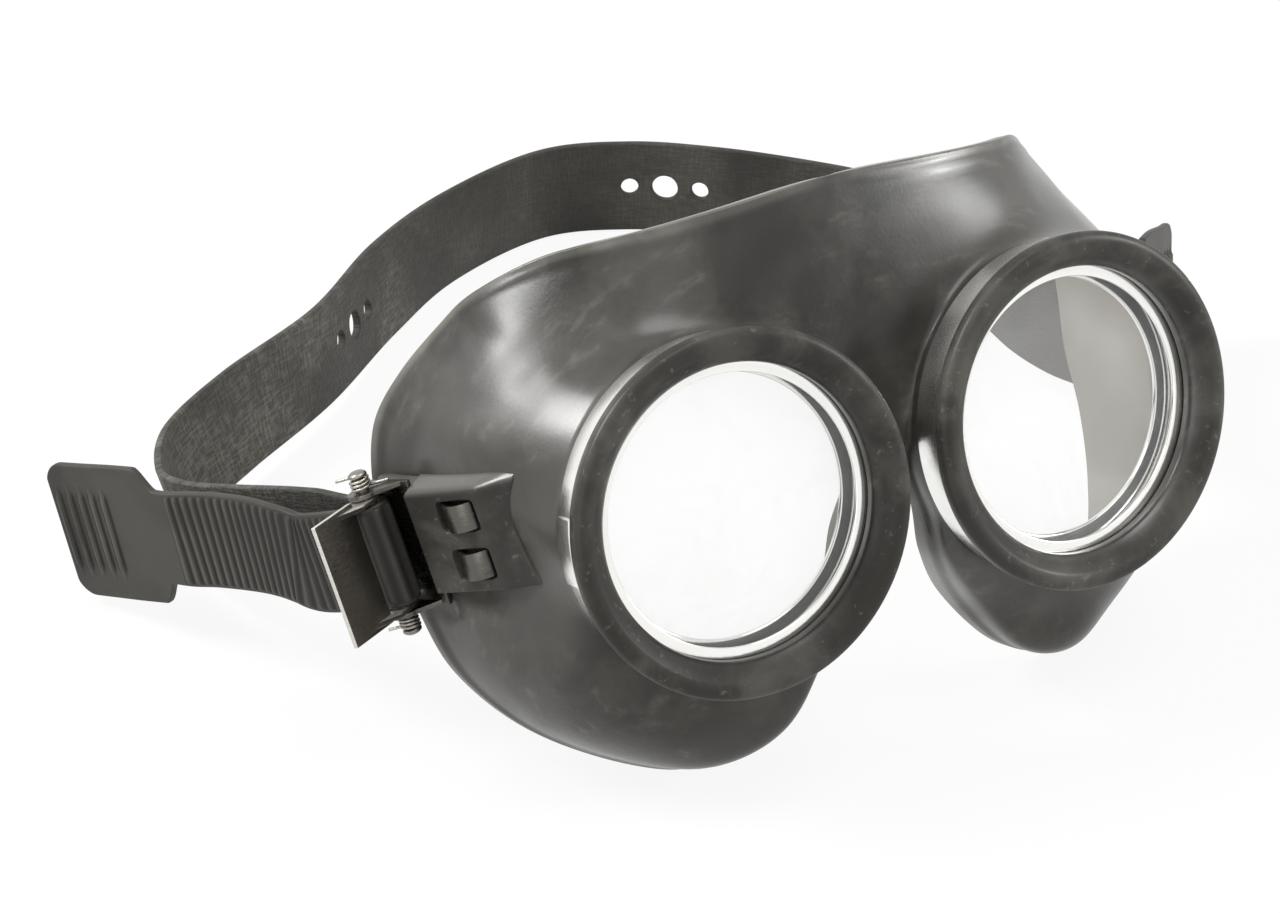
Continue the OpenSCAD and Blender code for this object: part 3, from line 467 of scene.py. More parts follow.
def pad(window_round):
    """Raised pad as a height over its own y and z: a face that slopes down to an arched front edge and drops
    at the rear to the buckle's bed, with two sunk windows, walls to the skin, and a sheet below it."""
    tongues = [s * TONGUE_GAP / 2 + TONGUE_UP for s in (-1, 1)]
    front, rear, bottom, top_z = LUG_REAR - LUG_L, PAD_REAR, LUG_Z - LUG_H / 2, LUG_Z + LUG_H / 2
    w0, w1 = TONGUE_END - WINDOW_SET, TONGUE_END - WINDOW_SET + WINDOW_L
    sills = [m + s * WINDOW_H / 2 for m in tongues for s in (-1, 1)]
    straight, zz = np.meshgrid(lines(front, rear, [front + 0.5, w0, w1, LUG_REAR, rear - 0.5]),
                               lines(bottom, top_z, sills + [bottom + 0.6, top_z - 1.2]), indexing="ij")
    lead = ease((w0 - 0.4 - straight) / (w0 - 0.4 - front))
    yy = straight + PAD_ARCH * (1 - np.clip((zz - ARCH_MIDDLE) / ARCH_HALF, -1, 1) ** 2) * lead
    skin = skin_depth(yy, zz)
    top = LUG_FACE + PAD_FALL * (LUG_REAR - yy) / PAD_RUN
    top += (skin - 0.4 - top) * lead
    for m in tongues:
        box = window_round + np.stack([np.abs(yy - (w0 + w1) / 2) - WINDOW_L / 2,
                                       np.abs(zz - m) - WINDOW_H / 2], -1)
        gap = np.linalg.norm(np.maximum(box, 0), axis=-1) + np.minimum(box.max(-1), 0) - window_round
        top += (BASE_X + PLATE_T + 0.1 - top) * ease((0.14 - gap) / 0.3)
    top += (BED_X - top) * ease((yy - LUG_REAR + 0.25) / 0.4)
    fall = (ease((zz - bottom) / 1.1) * ease((top_z - zz) / 2.6) * ease((rear - yy) / 0.8)
            * ease((straight - front) / 0.9))
    top = top * fall + np.maximum(skin + 0.9, top) * (1 - fall)
    low = np.maximum(skin + 1.2, top + 0.25)
    n, m = yy.shape
    rim = np.concatenate([np.arange(m), np.arange(1, n) * m + m - 1, (n - 1) * m + np.arange(m - 2, -1, -1),
                          np.arange(n - 2, 0, -1) * m])
    after = np.roll(rim, -1)
    quads = np.concatenate([grid(n, m), grid(n, m)[:, ::-1] + n * m,
                            np.stack([rim, after, after + n * m, rim + n * m], -1)[:, ::-1]])
    points = np.concatenate([np.stack([x, yy, zz], -1).reshape(-1, 3) for x in (top, low)])
    # Pale wear on the pad's walls; along the pad's upper edge the paler strip is a painted highlight where it
    # faces the light
    upper = ease((zz - top_z + 3) / 0.8) * ease((LUG_REAR + 1 - yy) / 2)
    wear = 0.6 * (1 - fall + upper) * ease((skin - top) / 0.5)
    # Painted shade: the flat of the pad's face gets the flange face's darker, duller colour
    shade = ease((fall - 0.8) / 0.18) * ease((LUG_REAR + 3 - yy) / 4)
    marks = {"wear": wear, "flange": shade, "inside": 0 * wear}
    return points, quads, {key: np.concatenate([x.ravel(), np.zeros(n * m)]) for key, x in marks.items()}


# Headband

NEAR_FREE = [[-101, 112.5, 13.2, -0.1, 0.15], [-98, 105, 15.4, -0.1, 0.18], [-95.2, 98, 17.5, -0.1, 0.22],
             [-92.5, 91, 19.6, -0.12, 0.25], [-90.5, 86, 20.9, -0.14, 0.3], [-88, 80.5, 22.8, -0.15, 0.36],
             [-85.2, 72.8, 25.2, -0.15, 0.42], [-83.5, 66, 27.1, -0.16, 0.46], [-82.2, 60, 28.3, -0.16, 0.48],
             [-80.6, 54, 29.4, -0.16, 0.46]]
HEAD = [[-74.8, 54, 31, -0.16, 0.4], [-76.8, 66, 26.4, -0.18, 0.36], [-79.5, 82, 20, -0.2, 0.28],
        [-81.8, 97, 14.6, -0.24, 0.16], [-81, 109.5, 11.8, -0.26, 0.06], [-73.5, 123, 11.4, -0.22, 0.12],
        [-57, 134.7, 12, -0.14, 0.2], [-31.5, 150.8, 11.5, -0.06, 0.12], [-6.8, 172.7, 10.3, -0.1, 0.14],
        [16, 187.5, 10.1, -0.02, 0.04], [41.9, 195.6, 10.1, 0, 0], [60, 190, 10.1, 0, 0],
        [74.3, 178.1, 10.1, 0, 0], [87, 163, 10.1, 0, 0], [96, 148, 10.3, 0.03, 0], [100, 130, 11.4, 0.1, 0],
        [96.5, 111, 13.6, 0.2, 0.05], [89.5, 92, 17.6, 0.2, 0.2], [81.8, 72, 24, 0.18, 0.34],
        [75.8, 55, 30.6, 0.16, 0.4]]
FAR_FREE = [[80.6, 53.3, 30.4, 0.16, 0.4], [86, 59, 28.2, 0.14, 0.36], [92.8, 64.6, 25.6, 0.1, 0.32],
            [100, 70, 22.4, 0.08, 0.28], [106, 74.5, 19.8, 0.04, 0.24], [112, 79.3, 18.2, 0, 0.2],
            [118.5, 84.5, 15.5, 0, 0.16], [124.3, 89.5, 13.2, 0, 0.14]]
BLOCK, CELLS, HOLE_ROUND = 3.75, 12, 0.22
BLOCK_LINES = BLOCK * np.linspace(-1, 1, CELLS + 1)
HOLE_GROUPS, PAST_TURN, TIP_R, EDGE_R = (159, 258.4), 5, 4, 0.45
GRIPS, GRIP_R, GRIP_RISE = 5, 0.5, 1.15
FIRST_RIB = TAB_L + RIB_START


def strap_route():
    """Middle line of the headband with the direction across it, the length at each point, and its turns."""
    def laid(rows):
        rows = np.array(rows, float)
        return np.concatenate([rows[:, :3] + STAND_SHIFT, rows[:, 3:], np.ones((len(rows), 1))], 1)

    def buckle(side, local):
        m = on_clip(side)
        up = m[:3, 2] * np.sign(m[2, 2])
        return np.concatenate([carry(m, np.array(local, float)), np.tile(up, (len(local), 1))], 1)

    a = np.radians(np.arange(180, 361, 30))
    turns = np.stack([WRAP_R * np.cos(a), WRAP_R * np.sin(a), 0 * a], -1)
    rows = np.concatenate([
        laid(NEAR_FREE), buckle(-1, [[-WRAP_R, 2.2, 0]]), buckle(-1, turns), buckle(-1, [[WRAP_R, 2.2, 0]]),
        laid(HEAD), buckle(1, [[WRAP_R, 2.2, 0]]), buckle(1, turns[::-1]), buckle(1, [[-WRAP_R, 2.2, 0]]),
        laid(FAR_FREE)])
    fine = 24
    u = np.arange((len(rows) - 1) * fine + 1) / fine
    line = catmull(rows, rows[0], rows[-1], u)
    reach = np.concatenate([[0], np.cumsum(np.linalg.norm(np.diff(line[:, :3], axis=0), axis=1))])
    near = reach[(len(NEAR_FREE) + 4) * fine]
    far = reach[len(reach) - 1 - (len(FAR_FREE) + 4) * fine]
    return line, reach, near, far


def strap_place(route, s, v, n):
    """Point of the headband: v across and n out of its ribbed face, from the middle line at length s."""
    line, reach = route[0], route[1]

    def pick(q, where):
        return np.stack([np.interp(where, reach, line[:, k]) for k in q], -1)

    c = pick((0, 1, 2), s)
    t = unit(pick((0, 1, 2), np.minimum(s + 0.25, reach[-1])) - pick((0, 1, 2), np.maximum(s - 0.25, 0)))
    w = pick((3, 4, 5), s)
    w = unit(w - (w * t).sum(-1, keepdims=True) * t)
    return c + v[..., None] * w + n[..., None] * np.cross(t, w)


def half_width(end, turn):
    """Half width at a distance from the nearer end: rounded tip, tab, shoulder, ribbed end, wide band."""
    tip = TIP_R - np.clip(end, 0, TIP_R)
    tab = TAB_H / 2 - TIP_R + np.sqrt(TIP_R ** 2 - tip ** 2)
    neck = TAB_H / 2 - (TAB_H - END_H) / 2 * ease((end - TAB_L + 4) / 4)
    band = END_H / 2 + (BAND_H - END_H) / 2 * ease((end - turn - 9) / 14)
    return np.where(end < TIP_R, tab, np.where(end < TAB_L + 6, neck, band))


def hole_patch(centre, radius):
    """Rows of points (length, across, out) from a square block's border in to its hole, round the hole's
    edges through the strip, and out to the border on the other face."""
    flat = np.full(CELLS, BLOCK)
    ring_s = np.concatenate([BLOCK_LINES[:-1], flat, BLOCK_LINES[:0:-1], -flat])
    ring_v = np.concatenate([-flat, BLOCK_LINES[:-1], flat, BLOCK_LINES[:0:-1]])
    a = np.arctan2(ring_v, ring_s)
    share = np.array([1, 0.72, 0.48, 0.3, 0.16, 0.06])[:, None]
    top_s = radius * np.cos(a) + (ring_s - radius * np.cos(a)) * share
    top_v = radius * np.sin(a) + (ring_v - radius * np.sin(a)) * share
    q = np.radians([90, 60, 30, 0, 0, 30, 60, 90])[:, None]
    wide = radius + HOLE_ROUND * (1 - np.cos(q))
    deep = np.repeat([1, -1], 4)[:, None] * (STRAP_T / 2 - HOLE_ROUND * (1 - np.sin(q)))
    face = np.full(top_s.shape, STRAP_T / 2)
    return np.stack([centre + np.concatenate([top_s, wide * np.cos(a), top_s[::-1]]),
                     np.concatenate([top_v, wide * np.sin(a), top_v[::-1]]),
                     np.concatenate([face, np.repeat(deep, len(a), 1), -face])], -1)


def rib_rows(turn, pitch):
    """Number of ribs from a tab to just past its buckle, and their rows of points, ten to a rib."""
    count = math.floor((turn + PAST_TURN - FIRST_RIB) / pitch)
    return count, FIRST_RIB + np.arange(0, count * pitch, pitch / 10)


def strap_rows(total, near_rib, far_rib, centres):
    """Lengths of the rows of points: close at the ends, ten to a rib, and the lines of each hole's block."""
    ends = np.concatenate([[0, 0.04, 0.12, 0.25, 0.45, 0.7, 1, 1.35, 1.7], np.arange(2, FIRST_RIB, 0.2)])
    blocks = np.add.outer(centres, BLOCK_LINES).ravel()
    plain = np.arange(near_rib[-1] + 1, total - far_rib[-1] - 0.5, 1.0)
    free = np.abs(plain[:, None] - blocks).min(1) > 0.4
    free &= np.abs(plain[:, None] - centres).min(1) >= BLOCK
    return apart(np.concatenate([ends, total - ends, near_rib, total - far_rib, blocks, plain[free]]), 1e-4)


def relief(end, h, v, wave, rib_h, grip_pitch):
    """Height of the ribs and the round grip ridges over the outer face, and the painted shade beside a ridge.
    """
    ribs = rib_h * wave * ease((h - 0.55 - np.abs(v)) / 0.55)
    off = np.abs(end[:, None] - GRIP_START - grip_pitch * np.arange(GRIPS)).min(1)[:, None]
    past = np.maximum(0, np.abs(v) - GRIP_L / 2 + GRIP_R)
    ridges = GRIP_RISE * np.sqrt(np.maximum(0, GRIP_R ** 2 - off ** 2 - past ** 2))
    rise = np.maximum(ribs, ridges)
    near_ridge = ease(2.6 - 1.9 * off) * ease((GRIP_L / 2 + 0.4 - np.abs(v)) / 0.8)
    return rise, 0.8 * near_ridge * (1 - ease(rise / 0.3))


def bar_section(v, h, half, rise):
    """Places across and out of each row's section: outer face, edge, inner face, other edge."""
    q = np.radians([0, 22.5, 45, 67.5, 90])
    round_v = h - EDGE_R * (1 - np.sin(q))
    round_n = half * (1 - EDGE_R * (1 - np.cos(q)) / (STRAP_T / 2))
    edge_v = np.concatenate([round_v[:, 1:], round_v[:, :0:-1]], 1)
    edge_n = np.concatenate([round_n[:, 1:], -round_n[:, :0:-1]], 1)
    across = np.concatenate([v, edge_v, v[:, ::-1], -edge_v], 1)
    return across, np.concatenate([half + rise, edge_n, -half + 0 * v, -edge_n], 1), edge_v.shape[1]


def headband(rib_h, rib_pitch, grip_pitch, hole_r, small_r):
    """Strip whose section is a rounded bar. Its outer face rises by the ribs and by the grip ridges of both
    tabs, and each hole has a patch of its own in the strip's points."""
    route = strap_route()
    total, near, far = route[1][-1], route[2], route[3]
    near_ribs, near_rib = rib_rows(near, rib_pitch)
    far_ribs, far_rib = rib_rows(total - far, rib_pitch)
    holes = [(near + c + k * HOLE_GAP, small_r if k else hole_r) for c in HOLE_GROUPS for k in (-1, 0, 1)]
    centres = np.array([centre for centre, _ in holes])
    s = strap_rows(total, near_rib, far_rib, centres)
    at_near = s < total / 2
    end = np.minimum(s, total - s)
    h = half_width(end, np.where(at_near, near, total - far))[:, None]
    beside = np.concatenate([BLOCK + (h - 0.9 - BLOCK) * np.arange(1, 7) / 6, h - [0.75, 0.6, 0.45]], 1)
    v = np.concatenate([-beside[:, ::-1], np.tile(BLOCK_LINES, (len(s), 1)), beside], 1)
    tip = np.clip(end / 0.35, 0, 1)[:, None]
    half = STRAP_T / 2 * np.sqrt(tip * (2 - tip))
    phase = (end - FIRST_RIB) / rib_pitch
    ribbed = (phase > 1e-6) & (phase < np.where(at_near, near_ribs, far_ribs))
    wave = np.where(ribbed, (0.5 - 0.5 * np.cos(2 * math.pi * phase)) ** 0.75, 0)[:, None]
    rise, ridge_shade = relief(end, h, v, wave, rib_h, grip_pitch)
    vs, ns, edge_n = bar_section(v, h, half, rise)
    n, m = vs.shape

    # The blocks' own quads make way for the holes' patches, on both faces
    keep = np.ones((n - 1, m), bool)
    cells = np.arange(CELLS) + beside.shape[1]
    for centre in centres:
        for start in (0, v.shape[1] + edge_n):
            keep[np.ix_(np.abs((s[1:] + s[:-1]) / 2 - centre) < BLOCK, cells + start)] = False
    quads = [grid(n, m, False, True).reshape(n - 1, m, 4)[keep]]
    lay = [np.stack([np.broadcast_to(s[:, None], vs.shape), vs, ns], -1).reshape(-1, 3)]
    for hole in holes:
        patch = hole_patch(*hole)
        quads.append(grid(*patch.shape[:2], False, True)[:, ::-1] + sum(map(len, lay)))
        lay.append(patch.reshape(-1, 3))
    lay = np.concatenate(lay)

    # Painted shade in the rib troughs of the outer face, and beside the grip ridges
    grooves = ribbed[:, None] * (1 - wave) ** 0.6 * (ns > 0.5 * half) * ease((h - 0.4 - np.abs(vs)) / 0.4)
    grooves[:, :v.shape[1]] = np.maximum(grooves[:, :v.shape[1]], ridge_shade)
    # Pale rib tops: partly rubbed wear, partly a painted highlight
    tops = np.clip((ns - half) / max(rib_h, 0.05), 0, 1)
    bare = np.zeros(len(lay) - n * m)
    last = np.where(lay[:, 0] < total / 2, near_rib[-1], far_rib[-1])
    marks = {"lay": lay * MM, "plain": ease((np.minimum(lay[:, 0], total - lay[:, 0]) - last - 3) / 4),
             "dust": 1 - 0.75 * ease((lay[:, 0] - near - 160) / 60),
             "trough": np.concatenate([grooves.ravel(), bare]), "wear": np.concatenate([tops.ravel(), bare])}
    return strap_place(route, *lay.T), np.concatenate(quads), marks


# Shader expressions

class Value:
    """A shader socket that takes part in arithmetic: each operator adds its Math node."""

    def __init__(self, finish, socket):
        self.finish, self.socket = finish, socket

    def _math(self, operation, a, b):
        return self.finish.node("ShaderNodeMath", {"operation": operation}, {0: a, 1: b})

    def __add__(self, other):
        return self._math("ADD", self, other)

    __radd__ = __add__

    def __sub__(self, other):
        return self._math("SUBTRACT", self, other)

    def __rsub__(self, other):
        return self._math("SUBTRACT", other, self)

    def __mul__(self, other):
        return self._math("MULTIPLY", self, other)

    __rmul__ = __mul__

    def __pow__(self, other):
        return self._math("POWER", self, other)

    def most(self, other):
        """The larger of two values."""
        return self._math("MAXIMUM", self, other)

    def span(self, low, high):
        """0 at low and 1 at high, eased between."""
        return self.finish.node("ShaderNodeMapRange", {"interpolation_type": "SMOOTHSTEP"},
                                {0: self, 1: low, 2: high, 3: 0.0, 4: 1.0})


class Finish:
    """A material's or a world's node tree that is written as expressions."""

    def __init__(self, name, kind="Material"):
        owners = bpy.data.materials if kind == "Material" else bpy.data.worlds
        self.owner = owners.get(name) or owners.new(name)
        self.owner.use_nodes = True
        self.tree = self.owner.node_tree
        self.tree.nodes.clear()
        self.out = self.tree.nodes.new(f"ShaderNodeOutput{kind}")

    def node(self, kind, settings, sockets, out=0):
        """Adds a node, sets its settings first and then the values or links of its sockets."""
        made = self.tree.nodes.new(kind)
        for key, value in settings.items():
            setattr(made, key, value)
        for key, value in sockets.items():
            if isinstance(value, Value):
                self.tree.links.new(value.socket, made.inputs[key])
            else:
                made.inputs[key].default_value = value
        return Value(self, made.outputs[out])

    def object_point(self, stretch=(1, 1, 1)):
        """Object coordinates, stretched along each axis."""
        point = self.node("ShaderNodeTexCoord", {}, {}, "Object")
        return self.node("ShaderNodeMapping", {}, {"Vector": point, "Scale": stretch})

    def mark(self, name, out="Fac"):
        """A piece's own attribute."""
        return self.node("ShaderNodeAttribute", {"attribute_name": name}, {}, out)

    def noise(self, where, scale, detail, rough, twist=0.0):
        """Fractal noise: octaves of it, each with a share of the one before, bent by the twist."""
        return self.node("ShaderNodeTexNoise", {}, {"Vector": where, "Scale": scale, "Detail": detail,
                                                    "Roughness": rough, "Distortion": twist})

    def blend(self, share, a, b):
        """Colour between a and b."""
        return self.node("ShaderNodeMix", {"data_type": "RGBA"}, {0: share, 6: a, 7: b}, 2)

    def bump(self, height, depth, strength, normal=None):
        """Normal that a height, times its depth in metres, would give."""
        sockets = {"Height": height, "Distance": depth, "Strength": strength}
        if normal is not None:
            sockets["Normal"] = normal
        return self.node("ShaderNodeBump", {}, sockets)

    def surface(self, **inputs):
        """Principled surface; a name's underscores stand for spaces."""
        sockets = {key.replace("_", " "): value for key, value in inputs.items()}
        return self.close(self.node("ShaderNodeBsdfPrincipled", {}, sockets))

    def close(self, shader):
        """Ends the tree with a shader."""
        self.tree.links.new(shader.socket, self.out.inputs["Surface"])
        return self.owner

    def looked_at(self):
        """1 for what the camera sees itself, in a mirror or through glass, else 0."""
        kinds = ("Is Camera Ray", "Is Transmission Ray", "Is Glossy Ray")
        seen = [self.node("ShaderNodeLightPath", {}, {}, kind) for kind in kinds]
        return seen[0].most(seen[1]).most(seen[2])


def rgba(colour, share=1.0):
    """Colour times a share, with full alpha."""
    return (*(min(1, c * share) for c in colour[:3]), 1.0)


def rubber(name, colour, bloom, tight):
    """Old satin rubber: dark clouds, pale bloom, wiping streaks, rubbed edges, a dull speckled flange face
    and an inside painted much paler, as painted light."""
    f = Finish(name)
    p = f.object_point()
    cloud = f.noise(p, 24.0, 5.0, 0.6, 0.8).span(0.34, 0.68)
    patch = f.noise(p, 70.0, 4.0, 0.6, 0.4).span(0.42, 0.72)
    streak = f.noise(f.object_point((1.0, 5.0, 2.4)), 95.0, 4.0, 0.6).span(0.5, 0.78)
    grain = f.noise(p, 1500.0, 2.0, 0.6)
    speck = f.noise(p, 620.0, 3.0, 0.65).span(0.6, 0.72)
    rubbed = f.noise(p, 17.0, 3.0, 0.55, 0.6).span(0.36, 0.62)
    flange, inside, wear = f.mark("flange"), f.mark("inside"), f.mark("wear")
    base = f.blend(cloud * 0.85, rgba(colour, 0.42), rgba(colour))
    base = f.blend(patch * (0.14 + 0.46 * streak), base, rgba(bloom))
    base = f.blend(wear * (0.35 + 0.4 * patch), base, rgba(bloom))
    dull = f.blend(speck * 0.35 + patch * 0.3, rgba(colour, 0.55), rgba(bloom))
    # Painted light: the inside walls are painted much paler than the rubber, standing in for the light inside
    # the cup
    painted_inside_light = f.blend(cloud * 0.4, rgba(bloom, 1.6), rgba(bloom, 1.12))
    base = f.blend(inside * 0.9, f.blend(flange * 0.9, base, dull), painted_inside_light)
    rough = tight + 0.12 * patch + 0.1 * cloud + 0.16 * flange + 0.3 * inside + 0.06 * grain
    sheen = (0.15 + 0.85 * rubbed) * (1 - 0.8 * flange) * (1 - inside)
    wide = f.bump(f.noise(p, 46.0, 3.0, 0.5), 0.0012, 0.25)
    fine = f.bump(grain + 0.6 * speck * flange, 0.00006, 0.6, wide)
    return f.surface(Base_Color=base, Roughness=rough, Normal=fine, Specular_IOR_Level=0.22,
                     Coat_Weight=sheen, Coat_Roughness=0.24)


def woven_rubber(name, colour, bloom):
    """Headband rubber: linen imprint on the plain part, pale rib tops that are partly rubbed wear and partly
    a painted highlight, and painted shade in the troughs and beside the grip ridges.
    """
    f = Finish(name)
    lay = f.mark("lay", "Vector")
    plain, wear, dust, trough = f.mark("plain"), f.mark("wear"), f.mark("dust"), f.mark("trough")
    p = f.object_point()

    def threads(stretch, scale):
        where = f.node("ShaderNodeMapping", {}, {"Vector": lay, "Scale": stretch})
        return f.noise(where, scale, 3.0, 0.6, 0.15)

    long_way = threads((0.14, 1.0, 0.0), 1900.0).span(0.44, 0.6)
    cross_way = threads((1.0, 0.16, 0.0), 1700.0).span(0.44, 0.62)
    linen = (long_way + cross_way) * 0.5
    cloud = f.noise(p, 26.0, 4.0, 0.6, 0.6).span(0.38, 0.66)
    grain = f.noise(p, 1700.0, 2.0, 0.6)
    base = f.blend(cloud * 0.8, rgba(colour, 0.4), rgba(colour))
    base = f.blend(plain * linen * (0.12 + 0.7 * cloud) * dust, base, rgba(bloom))
    # Paler rib tops: partly rubbed wear, partly a painted highlight
    base = f.blend(wear * (0.08 + 0.16 * cloud), base, rgba(bloom))
    # Painted shade: the rib troughs and the sides of the grip ridges are darkened
    base = f.blend(trough, base, rgba(colour, 0.2))
    rough = 0.44 + 0.12 * cloud + 0.12 * plain + 0.2 * trough
    weave = f.bump(linen * plain, 0.00016, 0.8)
    return f.surface(Base_Color=base, Roughness=rough, Normal=f.bump(grain, 0.00005, 0.5, weave),
                     Specular_IOR_Level=0.32)


def metal(name, colour, tarnish, polish, age, edge=None):
    """Sheet metal: tarnish in clouds, fine scratches along it, and brighter rubbed edges where marked."""
    f = Finish(name)
    p = f.object_point()
    cloud = f.noise(p, 140.0, 4.0, 0.6, 0.5).span(0.4, 0.7)
    scratch = f.noise(f.object_point((1.0, 1.0, 9.0)), 700.0, 3.0, 0.7).span(0.45, 0.7)
    spots = f.noise(p, 900.0, 2.0, 0.6).span(0.66, 0.74)
    base = f.blend((cloud * 0.55 + spots * 0.3) * age, rgba(colour), rgba(tarnish))
    rough = polish + (0.14 * cloud + 0.08 * scratch) * age
    if edge is not None:
        rub = f.mark("edge")
        base = f.blend(rub * (0.75 + 0.25 * scratch), base, rgba(edge))
    fine = f.bump(scratch, 0.00003, 0.5 * age)
    return f.surface(Base_Color=base, Metallic=1.0, Roughness=rough, Normal=fine)


def glass(name, tint, polish):
    """Clear thin glass that lets the view through, with a faint film of dust."""
    f = Finish(name)
    film = f.noise(f.object_point(), 60.0, 4.0, 0.6, 0.5).span(0.45, 0.8)
    return f.surface(Base_Color=rgba(tint), Roughness=polish + 0.1 * film, Alpha=0.05 + 0.04 * film)


# Sizes and colours that a user would change

def length(name, description, default):
    return bpy.props.FloatProperty(name=name, description=description, default=default * MM, min=0,
                                   subtype="DISTANCE", unit="LENGTH", precision=5)


def paint(name, description, default):
    return bpy.props.FloatVectorProperty(name=name, description=description, default=default, size=3,
                                         min=0, max=1, subtype="COLOR")


class GogglesSizes(bpy.types.PropertyGroup):
    """Sizes of the fine pieces."""
    wall: length("Skirt wall", "Thickness of the rubber skirt", 2.0)
    bead: length("Rim bead", "Height of the bead along the rim", 0.5)
    window_round: length("Window corner", "Corner radius of the windows in the pads", 0.7)
    rib_h: length("Rib height", "Height of the ribs of the headband's ends", 0.35)
    rib_pitch: length("Rib pitch", "Distance from rib to rib", 2.0)
    grip_pitch: length("Grip pitch", "Distance between the grip ridges on a pull tab", 2.8)
    hole_d: length("Large hole", "Diameter of the large holes in the headband", 5.5)
    small_d: length("Small hole", "Diameter of the small holes in the headband", 3.7)
    spring_wire: length("Spring wire", "Wire diameter of the torsion springs", 0.5)
    spring_turns: bpy.props.IntProperty(name="Spring turns", description="Turns of each torsion spring",
                                        default=3, min=2, max=3)
    bevel: length("Plate edge", "Rounding of the edges of the buckle's plates", 0.12)


class GogglesFinishes(bpy.types.PropertyGroup):
    """Colours of the finishes."""
    rubber: paint("Rubber", "Colour of the clean rubber", (0.045, 0.042, 0.036))
    bloom: paint("Bloom", "Pale bloom and rubbed rubber", (0.2, 0.19, 0.165))
    strap: paint("Headband", "Colour of the headband's rubber", (0.06, 0.056, 0.047))
    bright: paint("Bright metal", "Clamp bands and seat rings", (0.93, 0.925, 0.9))
    steel: paint("Steel", "Buckle bases, pins, rollers and springs", (0.3, 0.285, 0.255))
    lever: paint("Lever", "Darkened faces of the thumb plates", (0.15, 0.137, 0.12))
    edge: paint("Rubbed edge", "Bare metal at the edges of the thumb plates", (0.78, 0.76, 0.7))
    glass: paint("Glass", "Tint of the glasses", (0.98, 0.985, 0.98))
    floor: paint("Floor", "Colour of the floor", (0.9, 0.9, 0.895))


def sizes():
    """The sizes in millimetres."""
    group = bpy.context.scene.goggles_sizes
    return {k: getattr(group, k) / (1 if k == "spring_turns" else MM) for k in group.__annotations__}


def colours():
    group = bpy.context.scene.goggles_finishes
    return {k: tuple(getattr(group, k)) for k in group.__annotations__}


class GOGGLES_OT_face_piece(bpy.types.Operator):
    """Rubber face piece and its two raised pads"""
    bl_idname = "goggles.face_piece"
    bl_label = "Face piece"

    def execute(self, context):
        s, c = sizes(), colours()
        points, marks, middle, lip_rows = moulding(s["wall"], s["bead"])
        flat, quads = both_halves(points, middle, lip_rows)
        spread = {k: np.tile(np.broadcast_to(m, points.shape[:2]).ravel(), 2) for k, m in marks.items()}
        finish = rubber("mask_rubber", c["rubber"], c["bloom"], 0.26)
        ride = (finish, "mask", "mask_rubber", ["mask_body"])
        piece("face_moulding", carry(STAND, flat), quads, *ride, spread, 50)
        flat, quads, marks = pad(s["window_round"])
        for name, side in SIDES:
            piece(f"{name}_pad", carry(on_clip(side), flat), quads, *ride, marks, 50)
        return {"FINISHED"}


class GOGGLES_OT_headband(bpy.types.Operator):
    """One-piece rubber headband with ribbed ends, pull tabs and holes"""
    bl_idname = "goggles.headband"
    bl_label = "Headband"

    def execute(self, context):
        s, c = sizes(), colours()
        keys = ("rib_h", "rib_pitch", "grip_pitch")
        flat, quads, marks = headband(*(s[key] for key in keys), s["hole_d"] / 2, s["small_d"] / 2)
        finish = woven_rubber("headband_rubber", c["strap"], c["bloom"])
        piece("headband_strip", flat, quads, finish, "mask", "headband_rubber", ["headband"], marks, 60)
        return {"FINISHED"}


class GOGGLES_OT_lens_stacks(bpy.types.Operator):
    """Seat rings, glasses, inner discs and snap rings"""
    bl_idname = "goggles.lens_stacks"
    bl_label = "Lens stacks"

    def execute(self, context):
        c = colours()
        bright = metal("ring_metal", c["bright"], rgba(c["bright"], 0.7), 0.1, 0.15)
        clear = glass("lens_glass", c["glass"], 0.0)
        front, back = -SEAT_FRONT, -POCKET_BACK + STACK_GAP
        r = SEAT_R - SEAT_FACE
        seat = rounded_loop([[r, front - SEAT_T], [r, front], [SEAT_R, front], [SEAT_R, back], [BORE_R, back],
                             [BORE_R, front - SEAT_T]], 0.22)
        r, z = BORE_R - STACK_GAP, -SNAP_FRONT
        snap = rounded_loop([[r - SNAP_W, z - SNAP_T], [r - SNAP_W, z], [r, z], [r, z - SNAP_T]], 0.3)
        rings = (("seat", lathe(seat, 200)),
                 ("snap", lathe(snap, 200, SNAP_AT + SNAP_SPLIT / 2, 360 - SNAP_SPLIT)))
        for name, side in SIDES:
            for kind, (flat, quads, caps) in rings:
                piece(f"{name}_{kind}", carry(on_lens(side), flat), quads, bright, "mask", "ring_metal",
                      [f"{name}_{kind}_ring"], caps=caps)
            for node in ("lens_glass", "clear_disc"):
                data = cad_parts[f"{name}_{node}"].data
                data.materials.clear()
                data.materials.append(clear)
        return {"FINISHED"}


